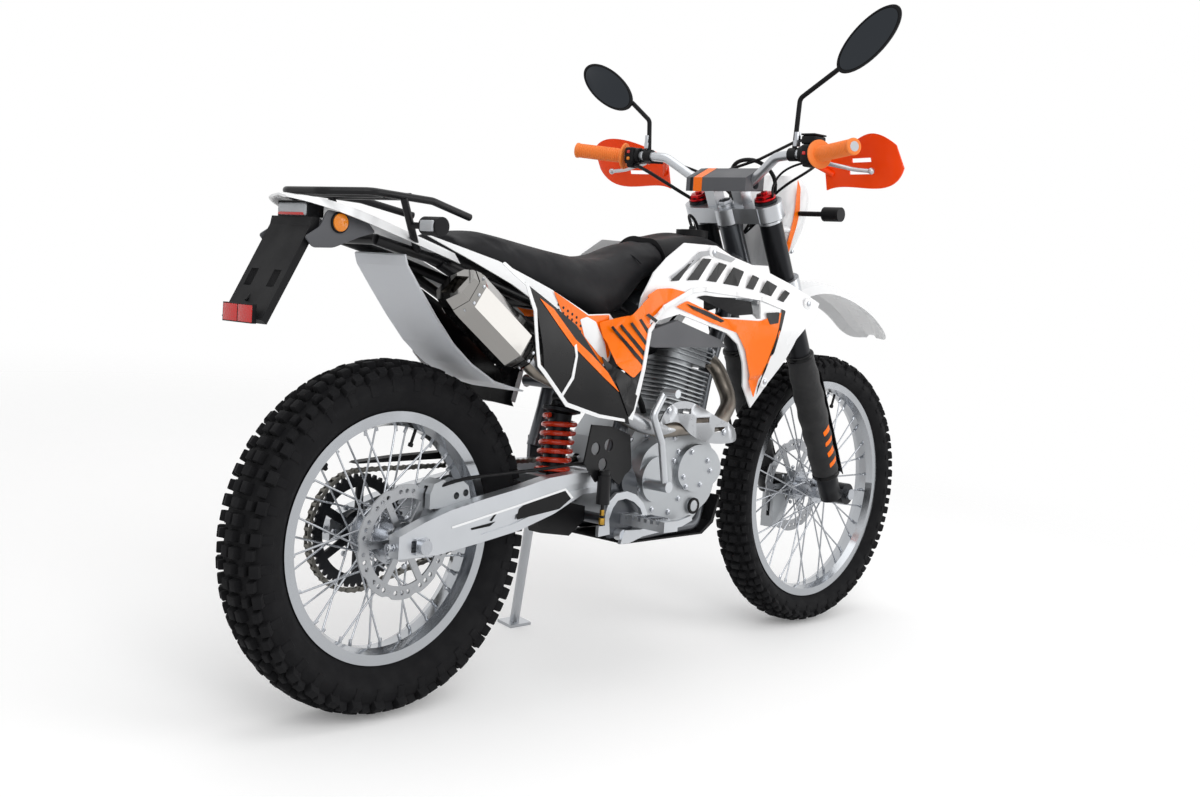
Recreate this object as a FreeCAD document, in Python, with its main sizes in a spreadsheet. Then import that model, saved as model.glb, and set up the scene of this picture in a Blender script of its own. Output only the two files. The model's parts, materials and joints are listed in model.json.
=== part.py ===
import FreeCAD, Part
import Sketcher
import math
import os
from FreeCAD import Placement, Rotation, Vector

# Enduro motorcycle, upright design frame in mm: X forward, Y left, Z up,
# origin under the rear axle; every node then gets the same lean onto the side stand.

SIZES = {
    # whole bike
    "wheelbase": 1423, "lean_degrees": 8, "rake_degrees": 27, "fit": 0.3, "slide": 0.5, "overrun": 5,
    "head_x": 1000, "head_z": 1030,
    # tyres and rims
    "rear_radius": 340, "rear_carcass": 326, "rear_side": 292, "rear_tyre_half": 55, "rear_rim_radius": 243.5,
    "rear_bead": 232, "rear_rim_inner": 214, "rear_rim_half": 34, "rear_lug_long": 24, "lug_half": 22,
    "rear_rows": 36, "front_radius": 347, "front_carcass": 334.5, "front_side": 312, "front_tyre_half": 43,
    "front_rim_radius": 280.5, "front_bead": 270, "front_rim_inner": 255, "front_rim_half": 27,
    "front_lug_long": 20, "front_rows": 40, "flange_wall": 4, "shoulder_lug_wide": 17, "shoulder_degrees": 38,
    # hubs, spokes, discs
    "spoke_radius": 2, "spoke_count": 36, "spoke_degrees": 62, "rear_hub_half": 78, "rear_hub_radius": 30,
    "rear_flange_radius": 48, "rear_flange_y": 32, "flange_thick": 6, "front_hub_half": 54,
    "front_hub_radius": 24, "front_flange_radius": 38, "front_flange_y": 28, "spoke_foot": 41,
    "front_spoke_foot": 32, "rear_axle_radius": 8.5, "rear_axle_half": 128, "axle_head": 14,
    "axle_head_long": 12, "front_axle_radius": 10, "front_axle_half": 128, "rear_disc_radius": 110,
    "rear_disc_inner": 84, "rear_disc_y": -70, "disc_thick": 4, "disc_hub": 38, "disc_arm": 14,
    "front_disc_radius": 122, "front_disc_inner": 94, "front_disc_y": 50, "wave_radius": 26, "wave_deep": 4,
    "wave_count": 10, "disc_hole": 4.5,
    # sprocket and chain
    "sprocket_radius": 111.7, "sprocket_root": 105, "sprocket_inner": 86, "sprocket_hub": 40, "sprocket_y": 70,
    "sprocket_thick": 6, "sprocket_teeth": 44, "sprocket_arm": 16, "chain_radius": 118,
    "chain_small_radius": 38, "chain_half_high": 6, "chain_wide": 16, "front_sprocket_x": 622,
    "front_sprocket_z": 415, "groove_wide": 8.5, "groove_deep": 8,
    "guard_x": -18, "guard_z": 440, "guard_long": 386, "guard_high": 46, "guard_wide": 24, "guard_tab_long": 34,
    "guard_tab_wide": 34, "guard_tab_high": 36, "guard_tab_x": 322,
    # swingarm and shock
    "arm_x": -52, "arm_z": 315, "arm_long": 640, "arm_high": 140, "arm_inner": 90, "arm_thick": 28,
    "pivot_x": 555, "pivot_z": 430, "pivot_radius": 15, "pivot_bolt": 9, "brace_x": 362, "brace_long": 40,
    "brace_z": 388, "brace_high": 56, "adjuster": 30, "adjuster_thick": 6, "slot_long": 44, "slot_high": 22,
    "pocket_deep": 3,
    "shock_x": 452, "shock_z": 395, "shock_long": 212, "shock_degrees": 8, "shock_rod": 12, "spring_radius": 33,
    "spring_wire": 5.5, "spring_turns": 6.5, "shock_body": 24, "shock_eye": 16,
    "shock_eye_half": 20, "shock_cap": 41, "shock_cap_thick": 7, "link_x": 400, "link_z": 300,
    "link_long": 150, "link_high": 88.4, "link_thick": 36,
    # frame
    "head_tube_radius": 27, "stem_bore": 17, "head_tube_top": -27, "head_tube_low": -174, "backbone_radius": 24,
    "side_tube": 17, "down_tube": 19, "cradle_tube": 13, "frame_x": 505, "frame_z": 290, "frame_long": 575,
    "frame_high": 650, "frame_half": 118, "plate_x": 508, "plate_z": 312, "plate_long": 92, "plate_high": 190,
    "plate_y": 123.8, "plate_thick": 9, "cross_tube": 12, "cap_radius": 23, "cap_thick": 8,
    "sub_tube": 10, "sub_x": -95, "sub_z": 600, "sub_long": 700, "sub_high": 310, "sub_half": 90,
    "skid_x": 600, "skid_z": 268, "skid_long": 330, "skid_high": 110, "skid_half": 92, "skid_thick": 4,
    "bridge_long": 78, "link_cross_x": 562.3, "link_cross_z": 338, "gusset_thick": 8,
    # engine
    "cases_x": 588, "cases_z": 319.4, "cases_long": 300, "cases_high": 250.6, "cases_half": 84,
    "clutch_x": 602, "clutch_z": 338, "clutch_long": 262, "clutch_high": 194, "clutch_thick": 36,
    "oval_x": 722, "oval_z": 396, "oval_long": 150, "oval_high": 104, "oval_thick": 12,
    "round_x": 652, "round_z": 430, "round_radius": 50, "round_thick": 12, "sight_x": 790, "sight_z": 362,
    "sight_radius": 17, "magneto_x": 790, "magneto_z": 442, "magneto_radius": 66, "magneto_thick": 34,
    "gear_x": 592, "gear_z": 364, "gear_long": 134, "gear_high": 110, "gear_thick": 16, "gear_lap": 1,
    "crank_x": 770, "crank_z": 440, "barrel_degrees": 12, "barrel_radius": 56, "barrel_low": 130,
    "barrel_top": 244, "fin_long": 156, "fin_wide": 150, "fin_thick": 3, "fin_pitch": 10, "fin_round": 26,
    "fin_count": 10, "head_long": 140, "head_wide": 132, "head_high": 58, "head_fin_count": 3,
    "head_cover_high": 20, "head_cover_long": 104, "head_cover_wide": 92, "intake_radius": 27,
    "airbox_x": 392, "airbox_z": 650, "airbox_long": 188, "airbox_high": 116, "airbox_half": 66,
    "carb_long": 62, "carb_wide": 66, "carb_high": 88,
    # exhaust
    "header_radius": 18, "header_x": 262, "header_z": 540, "header_long": 680, "header_high": 170,
    "header_half": 152, "shield_x": 616, "shield_z": 506, "shield_long": 266, "shield_high": 96,
    "shield_y": -160, "shield_thick": 2.5, "shield_slot_long": 46, "shield_slot_high": 12,
    "silencer_long": 232, "silencer_high": 98, "silencer_wide": 82, "silencer_x": 216, "silencer_y": -143,
    "silencer_z": 694, "silencer_degrees": 35.5, "silencer_cone": 46, "silencer_cap": 34,
    "silencer_chamfer": 26, "outlet_long": 30, "outlet_high": 46, "outlet_wide": 36,
    # tank, seat and panels
    "tank_x": 690.3, "tank_long": 292, "tank_z": 795, "tank_high": 170, "tank_half": 122, "cap_x": 873,
    "cap_z": 958, "filler_radius": 37, "filler_high": 22,
    "way_x": 300, "way_z": 760, "way_long": 300, "way_high": 52, "way_y": 60.3, "way_wide": 36,
    "seat_x": 90, "seat_long": 600, "seat_z": 770, "seat_high": 190, "seat_half": 112,
    "shroud_x": 550, "shroud_long": 600, "shroud_z": 575, "shroud_high": 375, "shroud_half": 190,
    "skin": 4, "boss_radius": 8, "shroud_boss_x": 790, "shroud_boss_z": 905, "shroud_boss_y": 100,
    "shroud_boss_long": 38.6, "panel_boss_x": 345, "panel_boss_z": 722, "panel_boss_y": 92.8,
    "panel_boss_long": 87, "tail_boss_x": 297, "tail_boss_z": 801, "tail_boss_y": 75.3,
    "tail_boss_long": 63.5, "shroud_window_x": 742, "shroud_window_z": 788, "shroud_window_long": 186,
    "shroud_window_high": 44,
    "cover_x": 556, "cover_long": 292, "cover_z": 716, "cover_high": 80, "cover_y": 137.1, "cover_thick": 14,
    "number_x": 165, "number_long": 335, "number_z": 560, "number_high": 280, "number_half": 192,
    "tail_x": -20, "tail_long": 500, "tail_z": 662, "tail_high": 262, "tail_half": 150,
    "fender_x": -268, "fender_long": 355, "fender_z": 850, "fender_high": 120, "fender_half": 92,
    "fender_boss": 8, "fender_boss_y": 30,
    "flap_half": 74, "flap_thick": 3, "flap_x": -38, "flap_z": 604, "flap_long": 322, "flap_high": 271,
    # rack, plate bracket and lamps
    "rack_tube": 7, "rack_x": -216, "rack_z": 905, "rack_long": 330, "rack_high": 84, "rack_half": 110,
    "rack_plate_x": -120, "rack_plate_long": 60, "rack_plate_half": 40, "rack_plate_thick": 4,
    "rack_hole": 3.4, "rack_pcd": 50, "bracket_x": -332, "bracket_z": 742, "bracket_long": 110,
    "bracket_high": 189.2, "bracket_half": 60, "bracket_slot_long": 22, "bracket_slot_high": 30,
    "bracket_slot_gap": 34, "bracket_slot_x": -300, "bracket_slot_z": 806,
    "reflector_half": 45, "reflector_high": 33, "reflector_thick": 8, "tail_lamp_half": 44,
    "tail_lamp_long": 34, "tail_lamp_high": 27, "tail_lamp_x": -236, "tail_lamp_z": 931.5,
    "signal_stem": 6, "signal_radius": 17, "signal_long": 46, "signal_reach": 190,
    "rear_signal_x": -52.6, "rear_signal_z": 930,
    # rear caliper and pedals
    "caliper_x": 42, "caliper_z": 402, "caliper_long": 92, "caliper_high": 52, "caliper_wide": 39.4,
    "caliper_slot": 10, "caliper_eye": 7, "pedal_y": -146, "pedal_x": 524, "pedal_z": 302, "pedal_long": 236,
    "pedal_high": 44,
    "pedal_thick": 8, "peg_x": 565, "peg_z": 352, "peg_y": 128.6, "peg_long": 122, "peg_wide": 44,
    "peg_high": 22, "peg_root": 12, "peg_tooth": 9, "peg_notch": 8, "shift_long": 150, "shift_rod": 6,
    "shift_bar": 5, "shift_z": 338, "shift_x": 625, "shift_shaft_z": 346, "toe_long": 34, "toe_radius": 9,
    "kick_rod": 8, "kick_x": 560, "kick_z": 424, "kick_long": 60, "kick_high": 202, "kick_y": -184,
    "kick_foot": 36, "kick_boss": 12,
    # heel plate with the brake cylinder
    "heel_x": 406, "heel_z": 420, "heel_long": 152, "heel_high": 140, "heel_thick": 4, "heel_window": 13,
    "master_x": 462, "master_z": 392, "master_radius": 14, "master_long": 60, "master_rod": 3.5,
    "master_collar": 11, "master_collar_high": 10,
    # side stand
    "stand_x": 552, "stand_y": 150, "stand_z": 300, "stand_rod": 11, "stand_boss": 17, "stand_boss_half": 12,
    "stand_foot_x": 632, "stand_foot_y": 262, "foot_long": 66, "foot_wide": 46, "foot_thick": 7,
    "stand_lug": 14, "stand_axis_x": 11, "stand_axis_y": 90, "stand_axis_z": 42, "stand_pin": 6,
    # fork and clamps, in the steering frame
    "fork_x": 27, "fork_y": 98, "fork_tube": 27, "fork_top": 24, "clamp_top": 16,
    "clamp_low": -22, "clamp_end": 38, "lower_top": -180, "lower_low": -222, "stem_radius": 16.5,
    "clamp_boss": 30, "stem_nut": 19, "stem_nut_high": 9, "sock_top": -380, "sock_long": 345, "sock_radius": 49.9,
    "leg_end": -790, "leg_radius": 27, "axle_x": 66.8, "axle_z": -800.6, "lug_radius": 27, "lug_half_wide": 22,
    "cap_nut": 20, "cap_nut_high": 8, "fork_guard_inner": 50.3, "fork_guard_thick": 3, "fork_guard_top": -440,
    "fork_guard_long": 292, "guard_arc_degrees": 70, "guard_inner_degrees": 20, "riser_x": 16.1,
    "riser_y": 40, "riser_wide": 26, "riser_long": 36, "riser_top": 84, "riser_bar_z": 64.7,
    # bars and what they carry
    "bar_radius": 11, "bar_x": 895, "bar_long": 90, "bar_z": 1095, "bar_high": 75, "bar_half": 409,
    "pad_x": 946, "pad_long": 70, "pad_z": 1076, "pad_high": 58, "pad_half": 88,
    "grip_radius": 17, "grip_flange": 32, "grip_flange_thick": 5,
    "hand_x": 998, "hand_long": 67, "hand_z": 1090, "hand_high": 117, "hand_half": 450, "hand_thick": 4,
    "hand_slot_long": 60, "hand_slot_high": 9, "stay_radius": 6, "switch_radius": 21, "switch_start": 238,
    "lever_rod": 5, "lever_ball": 8, "lever_x": 960, "lever_reach": 385, "lever_long": 46, "lever_z": 1128,
    "reservoir_long": 48, "reservoir_wide": 38, "reservoir_high": 24,
    "mirror_stem": 5.5, "mirror_clamp": 15, "mirror_clamp_long": 20, "mirror_x": 932, "mirror_head_long": 95,
    "mirror_head_high": 41, "mirror_head_deep": 24, "mirror_left_y": 350, "mirror_left_z": 1328,
    "mirror_left_degrees": 30, "mirror_right_y": -400, "mirror_right_z": 1400, "mirror_right_degrees": 41,
    # mask, lamps, mudguard
    "mask_x": 1104, "mask_long": 106, "mask_z": 912, "mask_high": 220, "mask_half": 106, "mask_stay": 8,
    "mask_root_back": 80.9, "mask_root_drop": 30,
    "lens_radius": 58, "lens_x": 1188, "lens_long": 26, "lens_z": 1032, "front_signal_x": 1142,
    "front_signal_z": 1040, "front_signal_root": 105.8, "front_signal_reach": 224,
    "guard_front_x": 1078, "guard_front_long": 590, "guard_front_z": 745, "guard_front_high": 140,
    "guard_front_half": 78, "fender_seat_long": 28, "fender_seat_wide": 50,
    "fender_seat_high": 28, "fender_seat_x": 2, "front_caliper_x": 1320, "front_caliper_z": 244,
    "front_caliper_long": 52,
    "front_caliper_high": 88, "front_caliper_wide": 35.7, "caliper_plate_thick": 8, "hose_radius": 3.5,
    "hose_x": 940, "hose_long": 400, "hose_z": 330, "hose_high": 830, "hose_half": 215,
}

doc = FreeCAD.newDocument("EnduroBike")
sheet = doc.addObject("Spreadsheet::Sheet", "Dims")
for row, (word, value) in enumerate(SIZES.items(), start=1):
    sheet.set("A%d" % row, word)
    sheet.set("B%d" % row, str(value))
    sheet.setAlias("B%d" % row, word)
doc.recompute()


def v(word):
    return float(sheet.get(word))


def bind(thing, prop, word):
    thing.setExpression(prop, "Dims." + word)


LEAN = Placement(
    Vector(0, -v("lug_half") * math.cos(math.radians(v("lean_degrees"))),
           v("lug_half") * math.sin(math.radians(v("lean_degrees")))),
    Rotation(Vector(1, 0, 0), -v("lean_degrees")))
STEER = Placement(Vector(v("head_x"), 0, v("head_z")), Rotation(Vector(0, 1, 0), -v("rake_degrees")))
REAR = Placement(Vector(0, 0, v("rear_radius")), Rotation())
FRONT = Placement(Vector(v("wheelbase"), 0, v("front_radius")), Rotation())
UPRIGHT = Placement()
NODES = []


def plane(body, role):
    return [f for f in body.Origin.OriginFeatures if f.Role == role][0]


def sketch(body, role, points, smooth=False):
    made = body.newObject("Sketcher::SketchObject", body.Name + "_sketch")
    made.AttachmentSupport = [(plane(body, role), "")]
    made.MapMode = "FlatFace"
    if smooth:
        curve = Part.BSplineCurve()
        curve.interpolate(points, PeriodicFlag=True)
        made.addGeometry(curve)
    else:
        for a, b in zip(points, points[1:] + points[:1]):
            made.addGeometry(Part.LineSegment(a, b))
    return made


def ring_sketch(body, role, words):
    made = body.newObject("Sketcher::SketchObject", body.Name + "_rings")
    made.AttachmentSupport = [(plane(body, role), "")]
    made.MapMode = "FlatFace"
    for word in words:
        index = made.addGeometry(Part.Circle(Vector(), Vector(0, 0, 1), v(word)))
        rule = made.addConstraint(Sketcher.Constraint("Radius", index, v(word)))
        made.setExpression("Constraints[%d]" % rule, "Dims." + word)
        made.addConstraint(Sketcher.Constraint("Coincident", index, 3, -1, 1))
    return made


def padded(body, drawn, word, about=True):
    pad = body.newObject("PartDesign::Pad", body.Name + "_pad")
    pad.Profile = drawn
    bind(pad, "Length", word)
    pad.SideType = "Symmetric" if about else "One side"
    return pad


def plate(name, points, word, y=0.0, place=UPRIGHT, smooth=False):
    # outline in the XZ plane, thick by the named size about the given y
    body = doc.addObject("PartDesign::Body", name)
    padded(body, sketch(body, "XZ_Plane", [Vector(p.x, p.z, 0) for p in points], smooth), word)
    body.Placement = place.multiply(Placement(Vector(0, y, 0), Rotation()))
    return body


def turned(name, profile, place):
    # profile of (radius, y) turned about the Y axis
    body = doc.addObject("PartDesign::Body", name)
    drawn = sketch(body, "XY_Plane", [Vector(r, y, 0) for r, y in profile])
    turn = body.newObject("PartDesign::Revolution", name + "_turn")
    turn.Profile = drawn
    turn.ReferenceAxis = (plane(body, "Y_Axis"), [""])
    turn.Angle = 360
    body.Placement = place
    return body


def rod(name, word, a, b, place=UPRIGHT):
    made = doc.addObject("Part::Cylinder", name)
    bind(made, "Radius", word)
    made.Height = (b - a).Length
    made.Placement = place.multiply(Placement(a, Rotation(Vector(0, 0, 1), b - a)))
    return made


def across(name, word, x, y1, y2, z, place=UPRIGHT):
    return rod(name, word, Vector(x, y1, z), Vector(x, y2, z), place)


def block(name, words, corner, place=UPRIGHT):
    made = doc.addObject("Part::Box", name)
    for prop, word in zip(("Length", "Width", "Height"), words):
        bind(made, prop, word)
    made.Placement = place.multiply(Placement(corner, Rotation()))
    return made


def free(name, shape, place=UPRIGHT):
    made = doc.addObject("Part::Feature", name)
    made.Shape = shape
    made.Placement = place.multiply(made.Placement)
    return made


def mirror(thing):
    made = doc.addObject("Part::Mirroring", thing.Name + "_left")
    made.Source = thing
    made.Normal = Vector(0, 1, 0)
    return made


def fuse(name, things):
    made = doc.addObject("Part::MultiFuse", name)
    made.Shapes = things
    return made


def join(name, things):
    # one fuse after another, for pieces that meet in many places
    base = things[0]
    for number, tool in enumerate(things[1:]):
        made = doc.addObject("Part::Fuse", "%s_%d" % (name, number))
        made.Base = base
        made.Tool = tool
        base = made
    return base


def cut(name, base, tools):
    for number, tool in enumerate(tools):
        made = doc.addObject("Part::Cut", "%s_%d" % (name, number))
        made.Base = base
        made.Tool = tool
        base = made
    return base


def common(name, things):
    made = doc.addObject("Part::MultiCommon", name)
    made.Shapes = things
    return made


def node(name, things):
    made = doc.addObject("Part::Compound", name)
    made.Links = things
    made.Label = name
    made.Placement = LEAN
    NODES.append(made)
    return made


def outline(part, shares):
    return [Vector(v(part + "_x") + a * v(part + "_long"), 0, v(part + "_z") + c * v(part + "_high"))
            for a, c in shares]


def route(part, shares, side=1.0):
    return [Vector(v(part + "_x") + a * v(part + "_long"), side * b * v(part + "_half"),
                   v(part + "_z") + c * v(part + "_high")) for a, b, c in shares]


def bent(points, bend):
    edges = []
    start = points[0]
    for b, c, a in zip(points, points[1:], points[2:]):
        back = (b - c).normalize()
        on = (a - c).normalize()
        half = back.getAngle(on) / 2
        reach = min(bend / math.tan(half), min((b - c).Length, (a - c).Length) * 0.45)
        radius = reach * math.tan(half)
        middle = c + (back + on).normalize() * (radius / math.sin(half) - radius)
        edges.append(Part.LineSegment(start, c + back * reach).toShape())
        edges.append(Part.Arc(c + back * reach, middle, c + on * reach).toShape())
        start = c + on * reach
    edges.append(Part.LineSegment(start, points[-1]).toShape())
    return Part.Wire(edges)


def tube(name, points, radius, bend_share=3.0, place=UPRIGHT, grow=0.0):
    # a round bar bent along the points, grown for the way cut into what it passes
    wire = bent(points, radius * bend_share)
    ring = Part.Wire(Part.makeCircle(radius + grow, points[0], points[1] - points[0]))
    return free(name, wire.makePipeShell([ring], True, False), place)


def closed_curve(points):
    curve = Part.BSplineCurve()
    curve.interpolate(points, PeriodicFlag=True)
    return Part.Wire(curve.toShape())


def hull_section(x, half, low, top, crown_share, waist_share):
    # rounded cross section, wider at mid height than at the top
    high = top - low
    right = [(0.0, top), (half * crown_share * 0.6, top - 0.03 * high), (half * crown_share, top - 0.2 * high),
             (half, low + 0.45 * high), (half * waist_share, low + 0.08 * high), (0.0, low)]
    left = [(-y, z) for y, z in right[1:-1]][::-1]
    return closed_curve([Vector(x, y, z) for y, z in right + left])


def hull(name, part, shares, crown_share, waist_share, grow=0.0):
    # stations of (along, half width, bottom, top) as shares of the part's box
    rings = []
    for a, b, c, d in shares:
        rings.append(hull_section(v(part + "_x") + a * v(part + "_long"), b * v(part + "_half") + grow,
                                  v(part + "_z") + c * v(part + "_high") - grow,
                                  v(part + "_z") + d * v(part + "_high") + grow, crown_share, waist_share))
    return free(name, Part.makeLoft(rings, True, False))


def band(outer, thick):
    # closed band in a level plane, thick towards the middle plane
    inner = [Vector(p.x, p.y - thick if p.y > 0 else p.y + thick, p.z) for p in outer]
    a = Part.BSplineCurve()
    a.interpolate(outer)
    b = Part.BSplineCurve()
    b.interpolate(inner)
    return Part.Wire([a.toShape(), Part.makeLine(outer[-1], inner[-1]), b.toShape(),
                      Part.makeLine(inner[0], outer[0])])


def skin(name, part, grid_shares, thick, side=-1.0):
    # a curved panel: rows from bottom to top, each with its half widths from back to front
    rows = []
    count = len(grid_shares) - 1
    over = v("overrun")
    for level, line in enumerate(grid_shares):
        z = v(part + "_z") - over + (v(part + "_high") + 2 * over) * level / count
        pts = []
        for step, b in enumerate(line):
            x = v(part + "_x") - over + (v(part + "_long") + 2 * over) * step / (len(line) - 1)
            pts.append(Vector(x, side * b * v(part + "_half"), z))
        rows.append(band(pts, thick))
    return free(name, Part.makeLoft(rows, True, False))


def panel(name, part, grid_shares, edge_shares, smooth=False, thick_word="skin"):
    # the skin trimmed to its side view outline
    whole = skin(name + "_skin", part, grid_shares, v(thick_word))
    trim = free(name + "_trim", prism(outline(part, edge_shares), -v(part + "_half") * 1.3, 0, smooth))
    return common(name + "_shape", [whole, trim])


def prism(points, y1, y2, smooth=False):
    wire = closed_curve(points) if smooth else Part.makePolygon(points + points[:1])
    face = Part.Face(wire)
    face.translate(Vector(0, y1, 0))
    return face.extrude(Vector(0, y2 - y1, 0))


def spun(profile):
    # a turned shape about the Z axis from (radius, z) points
    wire = Part.makePolygon([Vector(r, 0, z) for r, z in profile + profile[:1]])
    return Part.Face(wire).revolve(Vector(), Vector(0, 0, 1), 360)


def lugs(part, place):
    # blocks across the tread and blocks on both shoulders, one row after another
    rows = int(v(part + "_rows"))
    radius = v(part + "_radius")
    root = v(part + "_carcass") - v("overrun")
    long = v(part + "_lug_long")
    half = v("lug_half")
    wide = v("shoulder_lug_wide")
    shapes = []
    for number in range(rows):
        turn = 360.0 * number / rows
        block_shape = Part.makeBox(long, half * 2, radius - root, Vector(-long / 2, -half, root))
        shapes.append(turned_copy(block_shape, turn))
        for side in (-1, 1):
            shoulder = Part.makeBox(long, wide, radius - root, Vector(-long / 2, -wide / 2, -(radius - root) / 2))
            shoulder.rotate(Vector(), Vector(1, 0, 0), -side * v("shoulder_degrees"))
            shoulder.translate(Vector(0, side * (v(part + "_tyre_half") - wide * 0.68), root - wide * 0.1))
            shapes.append(turned_copy(shoulder, turn + 180.0 / rows))
    return free(part + "_lugs", Part.makeCompound(shapes), place)


def turned_copy(shape, degrees):
    made = shape.copy()
    made.rotate(Vector(), Vector(0, 1, 0), degrees)
    return made


def tyre(part, place):
    seat = v(part + "_bead") + v("fit")
    inside = v(part + "_rim_half") - v("flange_wall") - v("fit")
    lip = v(part + "_rim_radius") + 3 * v("fit")
    half = v(part + "_tyre_half")
    side = v(part + "_side")
    crown = v(part + "_carcass")
    right = [(seat, inside), (lip, inside), ((lip + side) / 2, half * 0.93), (side, half),
             ((side + crown) / 2, half * 0.94), (crown, half * 0.5)]
    profile = right + [(r, -y) for r, y in right[::-1]]
    return fuse(part + "_tyre_fuse", [turned(part + "_carcass_body", profile, place), lugs(part, place)])


def rim(part, place):
    half = v(part + "_rim_half")
    wall = v("flange_wall")
    inner = v(part + "_rim_inner")
    bead = v(part + "_bead")
    lip = v(part + "_rim_radius")
    right = [(inner, half * 0.4), ((inner + bead) / 2, half), (lip, half), (lip, half - wall), (bead, half - wall)]
    return turned(part + "_rim_body", right + [(r, -y) for r, y in right[::-1]], place)


def spokes(part, foot_word, place):
    count = int(v("spoke_count"))
    foot = v(foot_word)
    tip = v(part + "_rim_inner") - 2 * v("fit")
    y = v(part + "_flange_y")
    lift = v("spoke_radius") * 1.4
    shapes = []
    for number in range(count):
        side = 1 if number % 2 else -1
        lead = 1 if (number // 2) % 2 else -1
        end = math.radians(360.0 * (number + 0.5) / count)
        start = end - lead * math.radians(v("spoke_degrees"))
        a = Vector(foot * math.cos(start), side * y + lead * lift, foot * math.sin(start))
        b = Vector(tip * math.cos(end), side * v(part + "_rim_half") * 0.2, tip * math.sin(end))
        shapes.append(Part.makeCylinder(v("spoke_radius"), (b - a).Length, a, b - a))
    return free(part + "_spokes", Part.makeCompound(shapes), place)


def hub(part, bore, foot_word, place):
    half = v(part + "_hub_half")
    tubes = v(part + "_hub_radius")
    rim_flange = v(part + "_flange_radius")
    y = v(part + "_flange_y")
    thick = v("flange_thick")
    right = [(tubes, y - thick / 2), (rim_flange, y - thick / 2), (rim_flange, y + thick / 2),
             (tubes, y + thick / 2), (tubes, half), (bore, half)]
    profile = right + [(r, -z) for r, z in right[::-1]]
    return fuse(part + "_hub_fuse", [turned(part + "_hub_body", profile, place), spokes(part, foot_word, place)])


def disc(part, y, place):
    # wavy ring on six arms round the hub
    body = doc.addObject("PartDesign::Body", part + "_ring")
    padded(body, ring_sketch(body, "XZ_Plane", [part + "_disc_radius", part + "_disc_inner"]), "disc_thick")
    body.Placement = place.multiply(Placement(Vector(0, y, 0), Rotation()))
    centre = doc.addObject("PartDesign::Body", part + "_carrier")
    padded(centre, ring_sketch(centre, "XZ_Plane", ["disc_hub", part + "_hub_clear"]), "disc_thick")
    centre.Placement = body.Placement
    arms = []
    reach = v(part + "_disc_inner") + v("overrun")
    for number in range(6):
        arm = Part.makeBox(reach - v("disc_hub") + v("overrun"), v("disc_thick"), v("disc_arm"),
                           Vector(v("disc_hub") - v("overrun"), -v("disc_thick") / 2, -v("disc_arm") / 2))
        arms.append(turned_copy(arm, 60 * number))
    whole = fuse(part + "_disc_whole", [body, centre, free(part + "_arms", Part.makeCompound(arms),
                                                           body.Placement)])
    bites = []
    radius = v(part + "_disc_radius")
    for number in range(int(v("wave_count"))):
        scoop = Part.makeCylinder(v("wave_radius"), v("disc_thick") + 2 * v("overrun"),
                                  Vector(radius + v("wave_radius") - v("wave_deep"),
                                         -v("disc_thick") / 2 - v("overrun"), 0), Vector(0, 1, 0))
        bites.append(turned_copy(scoop, 360.0 * number / v("wave_count")))
        for step_share in (0.25, 0.5, 0.75):
            bore = Part.makeCylinder(v("disc_hole"), v("disc_thick") + 2 * v("overrun"),
                                     Vector((radius + v(part + "_disc_inner")) / 2,
                                            -v("disc_thick") / 2 - v("overrun"), 0), Vector(0, 1, 0))
            bites.append(turned_copy(bore, 360.0 * (number + step_share) / v("wave_count")))
    return cut(part + "_disc_cut", whole, [free(part + "_bites", Part.makeCompound(bites), body.Placement)])


def sprocket(place):
    teeth = int(v("sprocket_teeth"))
    points = []
    for number in range(teeth):
        for step_share, word in ((0.0, "sprocket_root"), (0.3, "sprocket_root"), (0.5, "sprocket_radius"),
                                 (0.8, "sprocket_radius")):
            turn = math.radians(360.0 * (number + step_share) / teeth)
            points.append(Vector(v(word) * math.cos(turn), 0, v(word) * math.sin(turn)))
    y = v("sprocket_y")
    toothed = plate("sprocket_teeth_body", points, "sprocket_thick", y, place)
    hole = doc.addObject("PartDesign::Body", "sprocket_window")
    padded(hole, ring_sketch(hole, "XZ_Plane", ["sprocket_inner"]), "chain_wide")
    hole.Placement = toothed.Placement
    ring = cut("sprocket_ring", toothed, [hole])
    centre = doc.addObject("PartDesign::Body", "sprocket_centre")
    padded(centre, ring_sketch(centre, "XZ_Plane", ["sprocket_hub", "rear_hub_clear"]), "sprocket_thick")
    centre.Placement = toothed.Placement
    arms = []
    for number in range(6):
        arm = Part.makeBox(v("sprocket_inner") - v("sprocket_hub") + 2 * v("overrun"), v("sprocket_thick"),
                           v("sprocket_arm"), Vector(v("sprocket_hub") - v("overrun"),
                                                     -v("sprocket_thick") / 2, -v("sprocket_arm") / 2))
        arms.append(turned_copy(arm, 60 * number + 30))
    return fuse("sprocket_fuse", [ring, centre, free("sprocket_arms", Part.makeCompound(arms),
                                                     toothed.Placement)])


def wheels():
    node("rear_tyre", [tyre("rear", REAR)])
    node("rear_rim", [rim("rear", REAR)])
    node("rear_hub", [hub("rear", v("rear_axle_radius") + v("slide"), "spoke_foot", REAR)])
    node("rear_disc", [disc("rear", v("rear_disc_y"), REAR)])
    node("rear_sprocket", [sprocket(REAR)])
    node("front_tyre", [tyre("front", FRONT)])
    node("front_rim", [rim("front", FRONT)])
    node("front_hub", [hub("front", v("front_axle_radius") + v("slide"), "front_spoke_foot", FRONT)])
    node("front_disc", [disc("front", v("front_disc_y"), FRONT)])


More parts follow.
